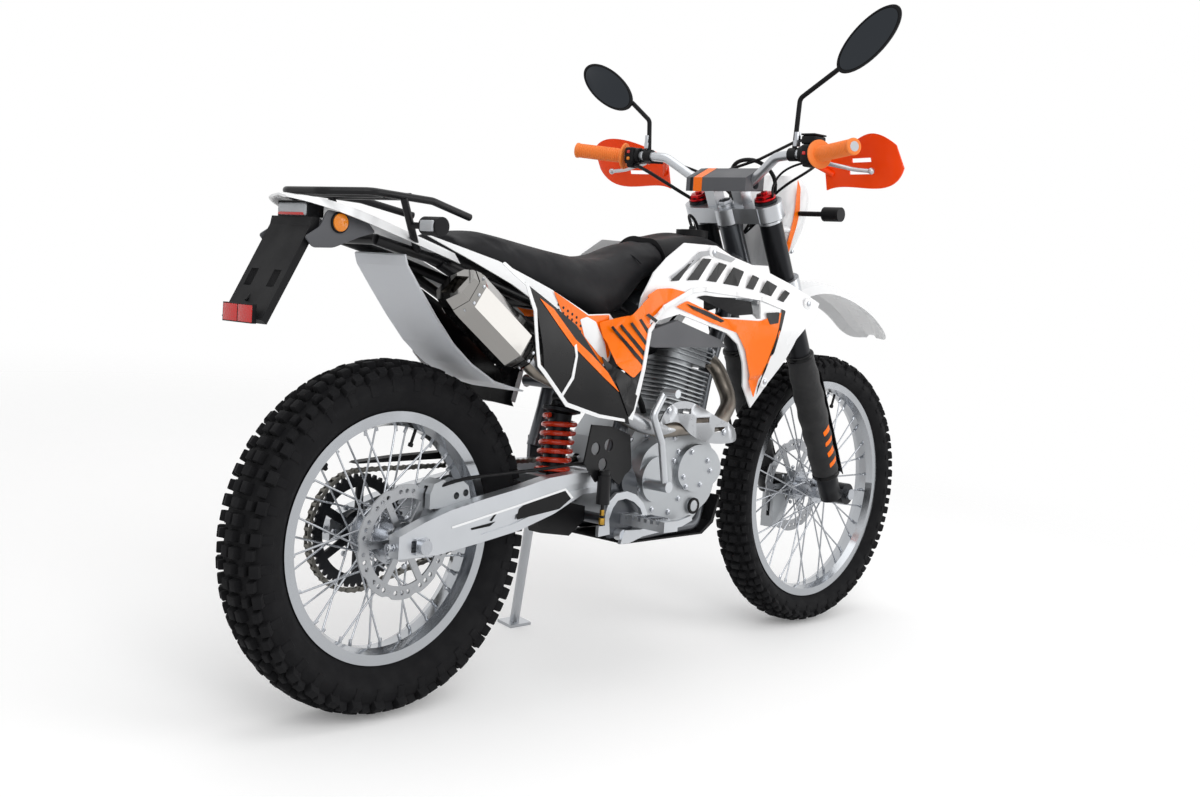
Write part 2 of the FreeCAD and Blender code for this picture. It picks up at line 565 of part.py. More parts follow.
def swingarm():
    arm_shares = [(0.0, 0.03), (0.0, 0.33), (0.1, 0.5), (0.19, 0.62), (0.33, 0.74), (0.48, 0.85), (0.6, 0.96),
                  (0.72, 1.0), (0.96, 0.99), (1.0, 0.84), (0.96, 0.7), (0.76, 0.68), (0.63, 0.43), (0.48, 0.24),
                  (0.32, 0.13), (0.15, 0.03)]
    y = -(v("arm_inner") + v("arm_thick") / 2)
    arm = plate("arm_right", outline("arm", arm_shares), "arm_thick", y)
    slot = block("arm_slot", ("slot_long", "arm_thick", "slot_high"),
                 Vector(-v("slot_long") / 2, y - v("arm_thick") / 2, v("rear_radius") - v("slot_high") / 2))
    pocket_shares = [(0.3, 0.3), (0.42, 0.42), (0.56, 0.62), (0.7, 0.84), (0.9, 0.87), (0.88, 0.8), (0.7, 0.74),
                     (0.58, 0.5), (0.44, 0.33), (0.32, 0.24)]
    pocket = plate("arm_pocket", outline("arm", pocket_shares), "pocket_wide", y - v("arm_thick") / 2)
    right = cut("arm_right_cut", arm, [slot, pocket])
    tie = across("arm_pivot_tube", "pivot_radius", v("pivot_x"), -v("arm_inner") - v("overrun"),
                 v("arm_inner") + v("overrun"), v("pivot_z"))
    brace = plate("arm_brace", [Vector(v("brace_x") + a * v("brace_long"), 0, v("brace_z") + c * v("brace_high"))
                                for a, c in ((0, 0), (1, 0), (1, 0.7), (0.5, 1), (0, 1))], "brace_wide")
    bolt = across("arm_bolt_way", "bolt_way", v("pivot_x"), -v("rear_axle_half"), v("rear_axle_half"),
                  v("pivot_z"))
    whole = fuse("arm_fuse", [right, mirror(right), tie, brace])
    done = cut("arm_done", whole, [bolt])
    node("swingarm", [done])
    return done


def adjusters():
    # the axle, its heads and the square blocks in the slots
    half = v("rear_axle_half")
    parts = [across("axle_bar", "rear_axle_radius", 0, -half, half, v("rear_radius"))]
    for side in (-1, 1):
        y = side * (v("arm_inner") + v("arm_thick") + v("fit"))
        far = y + side * v("adjuster_thick")
        low = min(y, far)
        parts.append(block("axle_square_%d" % (side + 1), ("adjuster", "adjuster_thick", "adjuster"),
                           Vector(-v("adjuster") / 2, low, v("rear_radius") - v("adjuster") / 2)))
        parts.append(across("axle_head_%d" % (side + 1), "axle_head", 0, far,
                            far + side * v("axle_head_long"), v("rear_radius")))
        parts.append(across("axle_spacer_%d" % (side + 1), "axle_head", 0,
                            side * (v("rear_hub_half") + v("slide")), side * (v("arm_inner") - v("fit")),
                            v("rear_radius")))
    node("rear_axle", [fuse("axle_fuse", parts)])


def shock_point(along):
    turn = math.radians(v("shock_degrees"))
    return Vector(v("shock_x") + along * math.sin(turn), 0, v("shock_z") + along * math.cos(turn))


def shock():
    long = v("shock_long")
    place = Placement(Vector(v("shock_x"), 0, v("shock_z")), Rotation(Vector(0, 1, 0), v("shock_degrees")))
    start = long * 0.12
    top = long * 0.8
    thick = v("shock_cap_thick")
    damper = [(0, v("shock_eye")), (v("shock_rod"), v("shock_eye")), (v("shock_rod"), start - thick),
              (v("shock_cap"), start - thick), (v("shock_cap"), start), (v("shock_rod"), start),
              (v("shock_rod"), start + thick), (v("shock_body"), start + thick), (v("shock_body"), top),
              (v("shock_cap"), top), (v("shock_cap"), top + thick), (v("shock_body"), top + thick),
              (v("shock_body"), long - v("shock_eye")), (0, long - v("shock_eye"))]
    body = free("damper_body", spun(damper), place)
    wire = v("spring_wire")
    low = start + wire + v("fit")
    room = top - wire - v("fit") - low
    helix = Part.makeHelix(room / v("spring_turns"), room, v("spring_radius"))
    ring = Part.Wire(Part.makeCircle(wire, Vector(v("spring_radius"), 0, 0), Vector(0, 1, 0)))
    coil = Part.Wire(helix.Edges).makePipeShell([ring], True, True)
    coil.translate(Vector(0, 0, low))
    spring = free("spring_coil", coil, place)
    low_eye = across("shock_low_eye", "shock_eye", 0, -v("shock_eye_half"), v("shock_eye_half"),
                     v("shock_eye") * 0.5, place)
    top_eye = across("shock_top_eye", "shock_eye", 0, -v("shock_eye_half"), v("shock_eye_half"),
                     long - v("shock_eye") * 0.5, place)
    node("shock_absorber", [fuse("shock_fuse", [body, low_eye, top_eye]), spring])
    link_shares = [(0.0, 0.55), (0.12, 0.15), (0.7, 0.0), (1.0, 0.35), (1.0, 0.7), (0.6, 0.85), (0.42, 0.98),
                   (0.2, 0.98)]
    node("shock_linkage", [plate("linkage", outline("link", link_shares), "link_thick")])


def chain_loop(grow):
    # belt outline round both sprockets, grown outward by the given amount
    big = v("chain_radius") + grow
    small = v("chain_small_radius") + grow
    c1 = Vector(0, 0, v("rear_radius"))
    c2 = Vector(v("front_sprocket_x"), 0, v("front_sprocket_z"))
    line = c2 - c1
    tilt = math.atan2(line.z, line.x)
    lean = math.acos((big - small) / line.Length)
    up = Vector(math.cos(tilt + lean), 0, math.sin(tilt + lean))
    down = Vector(math.cos(tilt - lean), 0, math.sin(tilt - lean))
    back = Vector(-math.cos(tilt), 0, -math.sin(tilt))
    a, b, c, d = c1 + up * big, c2 + up * small, c2 + down * small, c1 + down * big
    return Part.Wire([Part.makeLine(a, b), Part.Arc(b, c2 - back * small, c).toShape(), Part.makeLine(c, d),
                      Part.Arc(d, c1 + back * big, a).toShape()])


def chain(arm):
    half = v("chain_half_high")
    y = v("sprocket_y") - v("chain_wide") / 2
    outer = Part.Face(chain_loop(half)).extrude(Vector(0, v("chain_wide"), 0))
    inner = Part.Face(chain_loop(-half)).extrude(Vector(0, v("chain_wide"), 0))
    slot = Part.Face(chain_loop(v("groove_deep") - half)).extrude(Vector(0, v("groove_wide"), 0))
    outer.translate(Vector(0, y, 0))
    inner.translate(Vector(0, y, 0))
    slot.translate(Vector(0, v("sprocket_y") - v("groove_wide") / 2, 0))
    loop = cut("chain_cut", free("chain_outer", outer), [free("chain_inner", inner), free("chain_slot", slot)])
    node("drive_chain", [loop])
    guard_shares = [(0.0, 0.68), (0.02, 0.76), (0.25, 0.9), (0.6, 1.0), (1.0, 0.9), (1.0, 0.68), (0.1, 0.68)]
    strip = plate("guard_strip", outline("guard", guard_shares), "guard_wide",
                  v("sprocket_y") + v("guard_wide") * 0.17)
    tab = block("guard_tab", ("guard_tab_long", "guard_tab_wide", "guard_tab_high"),
                Vector(v("guard_tab_x"), v("sprocket_y") + v("guard_wide") * 0.55, v("guard_z")))
    node("chain_guard", [cut("guard_done", fuse("guard_fuse", [strip, tab]), [arm])])


def head_tube():
    top = v("head_tube_top")
    low = v("head_tube_low")
    outer = rod("head_outer", "head_tube_radius", Vector(0, 0, low), Vector(0, 0, top), STEER)
    inner = rod("head_inner", "stem_bore", Vector(0, 0, low - v("overrun")), Vector(0, 0, top + v("overrun")),
                STEER)
    return outer, inner


bone_shares = [(0.93, 0.0, 0.97), (0.7, 0.0, 0.9), (0.28, 0.0, 0.79), (0.17, 0.0, 0.72)]
side_shares = [(0.24, 0.0, 0.79), (0.19, 0.9, 0.74), (0.12, 0.985, 0.62), (0.065, 0.985, 0.42),
               (0.02, 0.985, 0.29)]


def frame():
    outer, inner = head_tube()
    down_shares = [(0.951, 0.0, 0.946), (0.78, 0.0, 0.53), (0.71, 0.0, 0.22)]
    low_shares = [(0.715, 0.0, 0.25), (0.69, 0.45, 0.09), (0.62, 0.62, 0.025), (0.26, 0.72, 0.02),
                  (0.1, 0.92, 0.05), (0.07, 0.92, 0.13)]
    parts = [outer, tube("backbone", route("frame", bone_shares), v("backbone_radius"), 4.0),
             tube("down_pipe", route("frame", down_shares), v("down_tube"), 6.0)]
    for side in (-1, 1):
        tag = "r" if side < 0 else "l"
        parts.append(tube("side_pipe_" + tag, route("frame", side_shares, side), v("side_tube")))
        parts.append(tube("cradle_" + tag, route("frame", low_shares, side), v("cradle_tube"), 4.0))
        plate_shares = [(0.05, 0.0), (0.7, 0.0), (1.0, 0.25), (0.9, 0.6), (0.62, 0.85), (0.5, 1.0), (0.0, 1.0),
                        (0.0, 0.35)]
        parts.append(plate("pivot_plate_" + tag, outline("plate", plate_shares), "plate_thick",
                           side * v("plate_y")))
        parts.append(across("pivot_cap_" + tag, "cap_radius", v("pivot_x"), side * v("plate_y"),
                            side * (v("plate_y") + v("plate_thick") / 2 + v("cap_thick")), v("pivot_z")))
    gusset_shares = [(0.93, 0.95), (0.84, 0.92), (0.835, 0.78), (0.87, 0.75), (0.92, 0.86)]
    parts.append(plate("head_gusset", outline("frame", gusset_shares), "gusset_thick"))
    parts.append(across("pivot_bolt", "pivot_bolt", v("pivot_x"), -v("plate_y"), v("plate_y"), v("pivot_z")))
    eye = shock_point(v("shock_long") - v("shock_eye") * 0.5)
    parts.append(across("shock_cross", "cross_tube", eye.x, -v("frame_half"), v("frame_half"),
                        eye.z + v("shock_eye") + v("cross_tube") + v("fit")))
    for side in (-1, 1):
        high = eye.z + v("shock_eye") + v("cross_tube") + v("fit")
        parts.append(rod("shock_bridge_%d" % (side + 1), "cross_tube",
                         Vector(eye.x, side * v("frame_half") * 0.9, high),
                         Vector(eye.x + v("bridge_long"), side * v("frame_half"), high)))
    parts.append(across("link_cross", "cross_tube", v("link_cross_x"), -v("frame_half"), v("frame_half"),
                        v("link_cross_z")))
    pin = stand_axis()
    root = Vector(v("stand_x"), v("stand_y"), v("stand_z"))
    near = root - pin * (v("stand_boss_half") + v("slide"))
    lug = rod("stand_lug", "stand_lug", Vector(near.x, v("plate_y"), near.z + v("stand_lug") * 0.6), root)
    way = rod("stand_way", "stand_clear", near, root + pin * v("stand_boss_half") * 2)
    parts.append(cut("stand_lug_cut", lug, [way]))
    parts.append(rod("stand_pin", "stand_pin", near - pin * v("overrun"),
                     root + pin * (v("stand_boss_half") + v("overrun"))))
    whole = join("frame_join", parts)
    node("frame_cradle", [cut("frame_done", whole, [inner])])


def skid_plate():
    skid_shares = [(0.0, 0.197), (0.8, 0.197), (0.91, 0.42), (0.985, 0.95), (1.0, 0.95), (0.94, 0.38),
                   (0.82, 0.161), (0.0, 0.161)]
    node("skid_plate", [plate("skid_sheet", outline("skid", skid_shares), "skid_wide")])


def stand_axis():
    return Vector(v("stand_axis_x"), v("stand_axis_y"), v("stand_axis_z")).normalize()


rail_shares = [(1.01, 0.62, 0.565), (0.56, 0.72, 0.65), (0.19, 0.72, 0.88), (0.0, 0.64, 0.97)]


def rails():
    # both rails of each side
    low_shares = [(0.93, 0.988, 0.12), (0.56, 0.9, 0.48), (0.21, 0.76, 0.85)]
    parts = []
    for side in (-1, 1):
        tag = "r" if side < 0 else "l"
        parts.append(tube("sub_top_" + tag, route("sub", rail_shares, side), v("sub_tube")))
        parts.append(tube("sub_low_" + tag, route("sub", low_shares, side), v("sub_tube")))
    return parts


def subframe():
    parts = rails()
    for number, (a_share, c_share) in enumerate(((0.0, 0.97), (0.56, 0.65))):
        x = v("sub_x") + a_share * v("sub_long")
        z = v("sub_z") + c_share * v("sub_high")
        parts.append(across("sub_cross_%d" % number, "sub_tube", x, -v("sub_half") * 0.68,
                            v("sub_half") * 0.68, z))
    ways = [tube("side_way_r", route("frame", side_shares, -1), v("side_tube"), 3.0, UPRIGHT, v("fit")),
            tube("side_way_l", route("frame", side_shares, 1), v("side_tube"), 3.0, UPRIGHT, v("fit"))]
    node("subframe", [cut("sub_done", fuse("sub_fuse", parts), ways)])


def engine():
    case_shares = [(0.0, 0.3), (0.05, 0.08), (0.18, 0.0), (0.83, 0.0), (0.99, 0.17), (1.0, 0.6), (0.95, 0.88),
                   (0.85, 0.96), (0.5, 1.0), (0.2, 0.96), (0.05, 0.75)]
    cases = plate("case_block", outline("cases", case_shares), "case_wide")
    clutch_shares = [(0.0, 0.45), (0.08, 0.12), (0.3, 0.0), (0.65, 0.02), (0.95, 0.2), (1.0, 0.55),
                     (0.88, 0.88), (0.6, 1.0), (0.3, 0.92), (0.08, 0.78)]
    y = -v("cases_half")
    cover = plate("clutch_cover", outline("clutch", clutch_shares), "clutch_thick",
                  y - v("clutch_thick") / 2, smooth=True)
    face = y - v("clutch_thick")
    oval_shares = [(0.0, 0.5), (0.18, 0.9), (0.55, 1.0), (0.92, 0.72), (1.0, 0.4), (0.75, 0.06), (0.35, 0.0),
                   (0.1, 0.15)]
    oval = plate("oval_cover", outline("oval", oval_shares), "oval_thick", face - v("oval_thick") / 2,
                 smooth=True)
    disc_cover = across("round_cover", "round_radius", v("round_x"), face + v("overrun"),
                        face - v("round_thick"), v("round_z"))
    sight = across("sight_boss", "sight_radius", v("sight_x"), face + v("overrun"),
                   face - v("round_thick") / 2, v("sight_z"))
    magneto = across("magneto_cover", "magneto_radius", v("magneto_x"), v("cases_half") - v("overrun"),
                     v("cases_half") + v("magneto_thick"), v("magneto_z"))
    bay = Part.Face(chain_loop(v("chain_half_high") * 2)).extrude(Vector(0, v("cases_half"), 0))
    bay.translate(Vector(0, v("sprocket_y") - v("chain_wide"), 0))
    notched = cut("cases_notched", cases, [free("sprocket_bay", bay)])
    gear = across("output_gear", "output_radius", v("front_sprocket_x"), v("sprocket_y") - v("chain_wide") * 1.2,
                  v("sprocket_y") + v("sprocket_thick"), v("front_sprocket_z"))
    gear_shares = [(0.0, 0.5), (0.1, 0.15), (0.35, 0.0), (0.8, 0.1), (1.0, 0.45), (0.95, 0.85), (0.6, 1.0),
                   (0.2, 0.92)]
    guard = plate("gear_cover", outline("gear", gear_shares), "gear_thick",
                  v("cases_half") - v("gear_lap") + v("gear_thick") / 2, smooth=True)
    whole = fuse("cases_fuse", [notched, cover, oval, disc_cover, sight, magneto, gear, guard])
    node("engine_cases", [whole])
    cylinder(whole)


def fin(z, long, wide, thick):
    corner = v("fin_round")
    slab = Part.makeBox(long, wide, thick, Vector(-long / 2, -wide / 2, z))
    upright = [e for e in slab.Edges if abs(e.tangentAt(e.FirstParameter).z) > 0.9]
    return slab.makeFillet(corner, upright)


def cylinder(cases):
    # finned barrel and head standing on the crankcase, leaning forward
    place = Placement(Vector(v("crank_x"), 0, v("crank_z")), Rotation(Vector(0, 1, 0), v("barrel_degrees")))
    low = v("barrel_low")
    top = v("barrel_top")
    foot = low - v("fin_pitch") * 2
    parts = [Part.makeCylinder(v("barrel_radius"), top - foot + v("overrun"), Vector(0, 0, foot))]
    for number in range(int(v("fin_count"))):
        z = low + v("fin_pitch") + number * v("fin_pitch")
        parts.append(fin(z, v("fin_long"), v("fin_wide"), v("fin_thick")))
    parts.append(fin(top, v("head_long"), v("head_wide"), v("head_high")))
    for number in range(int(v("head_fin_count"))):
        z = top + v("fin_pitch") * (number + 1.2)
        parts.append(fin(z, v("fin_long"), v("fin_wide"), v("fin_thick")))
    parts.append(fin(top + v("head_high") - v("overrun"), v("head_cover_long"), v("head_cover_wide"),
                     v("head_cover_high")))
    whole = parts[0].multiFuse(parts[1:])
    node("engine_cylinder", [cut("barrel_seated", free("barrel", whole, place), [cases])])


def port_way(name):
    # the room of the head and its fins, a fit larger, that both ports end at
    long = v("fin_long") + 2 * v("fit")
    wide = v("fin_wide") + 2 * v("fit")
    room = fin(v("barrel_low"), long, wide, v("barrel_top") - v("barrel_low") + v("head_high"))
    place = Placement(Vector(v("crank_x"), 0, v("crank_z")), Rotation(Vector(0, 1, 0), v("barrel_degrees")))
    return free(name, room, place)


def intake():
    long = v("airbox_long")
    box_shares = [(0.0, 0.35), (0.25, 0.0), (0.8, 0.05), (1.0, 0.2), (1.0, 0.85), (0.7, 1.0), (0.1, 1.0)]
    box = plate("airbox", outline("airbox", box_shares), "airbox_wide")
    end = Vector(v("airbox_x") + long - v("overrun"), 0, v("airbox_z") + v("airbox_high") * 0.45)
    port = Vector(v("carb_port_x"), 0, v("carb_port_z"))
    duct = rod("duct", "intake_radius", end, port)
    middle = (end + port) / 2
    carb = block("carburettor", ("carb_long", "carb_wide", "carb_high"),
                 Vector(middle.x - v("carb_long") / 2, -v("carb_wide") / 2, middle.z - v("carb_high") * 0.6))
    node("intake_airbox", [cut("intake_done", fuse("intake_fuse", [box, duct, carb]), [port_way("intake_way")])])


def exhaust():
    pipe_shares = [(0.92, 0.25, 0.93), (0.99, 0.33, 0.76), (0.985, 0.66, 0.3), (0.87, 0.87, 0.04),
                   (0.56, 0.94, 0.0), (0.43, 1.03, 0.1), (0.24, 0.95, 0.4), (-0.02, 0.941, 0.771),
                   (-0.0673, 0.941, 0.9049)]
    pipe = cut("header_cut", tube("header_pipe", route("header", pipe_shares, -1), v("header_radius"), 3.5),
               [port_way("header_way")])
    shield_shares = [(0.0, 0.6), (0.12, 0.94), (0.33, 1.0), (0.58, 0.78), (0.85, 0.5), (0.99, 0.25),
                     (1.0, 0.06), (0.93, 0.0), (0.6, 0.05), (0.36, 0.3), (0.16, 0.55)]
    shield = plate("heat_shield", outline("shield", shield_shares), "shield_thick", v("shield_y"), smooth=True)
    slots = []
    for number, (a_share, c_share) in enumerate(((0.2, 0.72), (0.45, 0.5), (0.7, 0.26))):
        slot = block("shield_slot_%d" % number, ("shield_slot_long", "silencer_wide", "shield_slot_high"),
                     Vector(v("shield_x") + a_share * v("shield_long"), v("shield_y") - v("silencer_wide") / 2,
                            v("shield_z") + c_share * v("shield_high")))
        slots.append(slot)
    stays = []
    for number, (a_share, c_share) in enumerate(((0.16, 0.62), (0.86, 0.32))):
        x = v("shield_x") + a_share * v("shield_long")
        z = v("shield_z") + c_share * v("shield_high")
        stays.append(across("shield_stay_%d" % number, "stay_radius", x, v("shield_y"),
                            v("shield_y") + v("header_radius") * 1.6, z))
    guarded = cut("shield_cut", shield, slots)
    node("exhaust_header", [fuse("header_fuse", [pipe, guarded] + stays)])
    silencer()


def silencer():
    # eight sided can with a cone in front and an angled end cap
    long = v("silencer_long")
    high = v("silencer_high")
    wide = v("silencer_wide")
    nip = v("silencer_chamfer")

    def ring(x, grow_share, tilt_share):
        h = high * grow_share / 2
        w = wide * grow_share / 2
        n = nip * grow_share
        pts = [(w, h - n), (w - n, h), (-w + n, h), (-w, h - n), (-w, -h + n), (-w + n, -h), (w - n, -h),
               (w, -h + n)]
        return Part.makePolygon([Vector(x + tilt_share * z, y, z) for y, z in pts + pts[:1]])

    can = Part.makeLoft([ring(0, 0.52, 0), ring(-v("silencer_cone"), 1.0, 0)], True, True)
    body = Part.makeLoft([ring(-v("silencer_cone"), 1.0, 0), ring(-long + v("silencer_cap"), 1.0, 0.0)], True,
                         True)
    cap = Part.makeLoft([ring(-long + v("silencer_cap"), 1.0, 0.0), ring(-long, 0.84, 0.22)], True, True)
    hole = Part.makeBox(v("outlet_long") * 2, v("outlet_wide"), v("outlet_high"),
                        Vector(-long - v("outlet_long"), -v("outlet_wide") / 2, -v("outlet_high") / 2))
    whole = can.multiFuse([body, cap]).removeSplitter().cut(hole)
    place = Placement(Vector(v("silencer_x"), v("silencer_y"), v("silencer_z")),
                      Rotation(Vector(0, 1, 0), v("silencer_degrees")))
    node("silencer", [free("can", whole, place)])


tank_shares = [(0.0, 0.72, 0.12, 0.93), (0.3, 0.95, 0.02, 0.99), (0.62, 1.0, 0.05, 0.985),
               (0.86, 0.82, 0.25, 0.8), (1.0, 0.55, 0.4, 0.62)]


def tank():
    whole = hull("tank_hull", "tank", tank_shares, 0.8, 0.86)
    tunnel = tube("tank_tunnel", route("frame", bone_shares), v("backbone_radius"), 4.0, UPRIGHT, v("fit"))
    lid = rod("filler_lid", "filler_radius", Vector(v("cap_x"), 0, v("cap_z") - v("overrun")),
              Vector(v("cap_x"), 0, v("cap_z") + v("filler_high")))
    node("fuel_tank", [cut("tank_done", fuse("tank_fuse", [whole, lid]), [tunnel])])


def seat():
    seat_shares = [(0.0, 0.66, 0.62, 0.84), (0.12, 0.8, 0.5, 0.83), (0.35, 0.97, 0.27, 0.73),
                   (0.55, 1.0, 0.12, 0.655), (0.68, 0.95, 0.06, 0.64), (0.83, 0.82, 0.3, 0.74),
                   (1.0, 0.7, 0.55, 0.95)]
    whole = hull("seat_hull", "seat", seat_shares, 0.78, 0.97)
    way_shares = [(0.0, 0.0), (1.0, 0.0), (1.0, 0.52), (0.0, 1.0)]
    ways = [plate("rail_way_r", outline("way", way_shares), "way_wide", -v("way_y")),
            plate("rail_way_l", outline("way", way_shares), "way_wide", v("way_y"))]
    node("seat", [cut("seat_done", whole, ways)])


def boss(part):
    # the peg that holds a panel on the rail behind it
    x = v(part + "_boss_x")
    z = v(part + "_boss_z")
    y = v(part + "_boss_y")
    return rod(part + "_boss", "boss_radius", Vector(x, -y, z), Vector(x, -y - v(part + "_boss_long"), z))


def panels():
    grid_shares = [(0.55, 0.6, 0.62, 0.66), (0.64, 0.74, 0.82, 0.88), (0.69, 0.82, 0.92, 1.0),
                   (0.66, 0.78, 0.86, 0.93), (0.58, 0.66, 0.72, 0.78)]
    shroud_shares = [(0.0, 0.52), (0.02, 0.66), (0.08, 0.8), (0.15, 0.89), (0.25, 0.985), (0.42, 0.985),
                     (0.5, 0.93), (0.67, 0.865), (0.82, 0.79), (0.89, 0.745), (0.985, 0.68), (0.95, 0.6),
                     (0.85, 0.45), (0.81, 0.31), (0.76, 0.17), (0.72, 0.01), (0.62, 0.15), (0.57, 0.3),
                     (0.52, 0.41), (0.45, 0.475), (0.2, 0.575), (0.07, 0.52), (0.02, 0.43)]
    right = panel("shroud", "shroud", grid_shares, shroud_shares)
    window = block("shroud_window", ("shroud_window_long", "shroud_half", "shroud_window_high"),
                   Vector(v("shroud_window_x"), -v("shroud_half"), v("shroud_window_z")))
    peg = rod("shroud_boss", "boss_radius", Vector(v("shroud_boss_x"), -v("shroud_boss_y"), v("shroud_boss_z")),
               Vector(v("shroud_boss_x"), -v("shroud_boss_y") - v("shroud_boss_long"), v("shroud_boss_z")))
    way = hull("tank_way", "tank", tank_shares, 0.8, 0.86, v("fit"))
    opened = cut("shroud_open", fuse("shroud_fuse", [right, cut("shroud_boss_cut", peg, [way])]), [window])
    node("tank_shrouds", [opened, mirror(opened)])
    cover_shares = [(0.03, 0.1), (0.12, 0.5), (0.39, 0.76), (0.9, 0.28), (1.0, 0.05), (0.15, 0.02)]
    lower = plate("tank_cover_right", outline("cover", cover_shares), "cover_thick", -v("cover_y"))
    node("tank_covers", [lower, mirror(lower)])
    number_grid_shares = [(0.94, 0.92, 0.91), (0.99, 0.95, 0.92), (0.96, 0.92, 0.88)]
    number_shares = [(0.0, 1.0), (0.07, 0.89), (0.12, 0.75), (0.17, 0.55), (0.19, 0.39), (0.24, 0.36),
                     (0.4, 0.18), (0.46, 0.13), (0.7, 0.07), (1.0, 0.0), (0.94, 0.14), (0.86, 0.29),
                     (0.68, 0.46), (0.45, 0.72), (0.2, 0.88)]
    side = fuse("number_fuse", [panel("number", "number", number_grid_shares, number_shares), boss("panel")])
    node("side_panels", [side, mirror(side)])
    tail_grid_shares = [(0.78, 0.88, 0.92, 0.9), (0.8, 0.9, 0.95, 0.92), (0.66, 0.76, 0.84, 0.84)]
    tail_shares = [(0.0, 0.98), (0.34, 0.82), (0.6, 0.64), (0.82, 0.46), (0.95, 0.47), (1.0, 0.4), (0.97, 0.1),
                   (0.9, 0.0), (0.86, 0.1), (0.66, 0.4), (0.4, 0.66), (0.1, 0.9)]
    tail = fuse("tail_fuse", [panel("tail", "tail", tail_grid_shares, tail_shares), boss("tail")])
    node("tail_panels", [tail, mirror(tail)])


def rack_legs(name, grow=0.0):
    # both legs of the rack, from its loop down to the rails under the mudguard
    leg_shares = [(0.43, 0.97, 0.86), (0.5, 0.94, 0.25), (0.66, 0.57, -0.293)]
    return [tube("%s_leg_%d" % (name, side + 1), route("rack", leg_shares, side), v("rack_tube"), 3.0, UPRIGHT,
                 grow) for side in (-1, 1)]


def rear_end():
    fender_shares = [(0.0, 1.0, 0.3), (0.14, 0.99, 0.8), (0.35, 0.86, 1.0), (0.7, 0.58, 1.0),
                     (1.0, 0.33, 0.95)]
    rings = []
    for a, c, b in fender_shares:
        x = v("fender_x") + a * v("fender_long")
        z = v("fender_z") + c * v("fender_high")
        half = b * v("fender_half")
        wall = v("skin")
        drop = wall * 6 * b
        pts = [(-half, z - drop), (-half * 0.8, z - wall), (0.0, z), (half * 0.8, z - wall), (half, z - drop),
               (half - wall, z - drop), (half * 0.8 - wall, z - 2 * wall), (0.0, z - wall),
               (-half * 0.8 + wall, z - 2 * wall), (-half + wall, z - drop)]
        rings.append(Part.makePolygon([Vector(x, y, w) for y, w in pts + pts[:1]]))
    parts = [free("fender_shell", Part.makeLoft(rings, True, False))]
    root = route("sub", rail_shares)[-1]
    for number, side in enumerate((-1, 1)):
        foot = Vector(root.x, side * v("fender_boss_y"), root.z)
        parts.append(rod("fender_boss_%d" % number, "fender_boss", foot,
                         foot + Vector(0, 0, v("fender_high") * 0.32)))
    ways = [across("fender_cross_way", "rail_way", root.x, -v("sub_half"), v("sub_half"), root.z)]
    node("rear_fender", [cut("fender_done", fuse("fender_fuse", parts), ways + rack_legs("fender", v("fit")))])
    flap_shares = [(0.0, 1.0), (0.02, 0.93), (0.12, 0.78), (0.26, 0.58), (0.4, 0.4), (0.55, 0.26), (0.75, 0.13),
                   (1.0, 0.06)]
    line = outline("flap", flap_shares)
    lifted = [Vector(p.x + v("flap_thick"), 0, p.z + v("flap_thick")) for p in line]
    flap = free("flap_sheet", prism(line + lifted[::-1], -v("flap_half"), v("flap_half")))
    node("mud_flap", [flap])
    rack()
    plate_holder()


def rack():
    loop_shares = [(0.98, 0.75, 0.6), (0.64, 0.95, 0.86), (0.2, 0.98, 0.93), (0.0, 0.5, 0.87), (0.0, -0.5, 0.87),
                   (0.2, -0.98, 0.93), (0.64, -0.95, 0.86), (0.98, -0.75, 0.6)]
    parts = [tube("rack_loop", route("rack", loop_shares), v("rack_tube"), 5.0)]
    parts += rack_legs("rack")
    level = v("rack_z") + 0.9 * v("rack_high")
    mid_x = v("rack_plate_x") + v("rack_plate_long") / 2
    for number, gap in enumerate((-1, 1)):
        x = mid_x + gap * v("rack_plate_long") / 2
        parts.append(across("rack_bar_%d" % number, "rack_tube", x, -v("rack_half") * 0.97,
                            v("rack_half") * 0.97, level))
    top = block("rack_plate", ("rack_plate_long", "rack_plate_wide", "rack_plate_thick"),
                Vector(v("rack_plate_x"), -v("rack_plate_half"), level))
    holes = []
    for number in range(4):
        turn = math.radians(45 + 90 * number)
        x = mid_x + v("rack_pcd") / 2 * math.cos(turn)
        y = v("rack_pcd") / 2 * math.sin(turn)
        holes.append(rod("rack_hole_%d" % number, "rack_hole", Vector(x, y, level - v("overrun")),
                         Vector(x, y, level + v("overrun") * 2)))
    ways = [tube("rack_way_%d" % (side + 1), route("sub", rail_shares, side), v("sub_tube"), 3.0, UPRIGHT,
                 v("fit")) for side in (-1, 1)]
    whole = fuse("rack_fuse", parts + [cut("rack_drilled", top, holes)])
    node("luggage_rack", [cut("rack_done", whole, ways)])


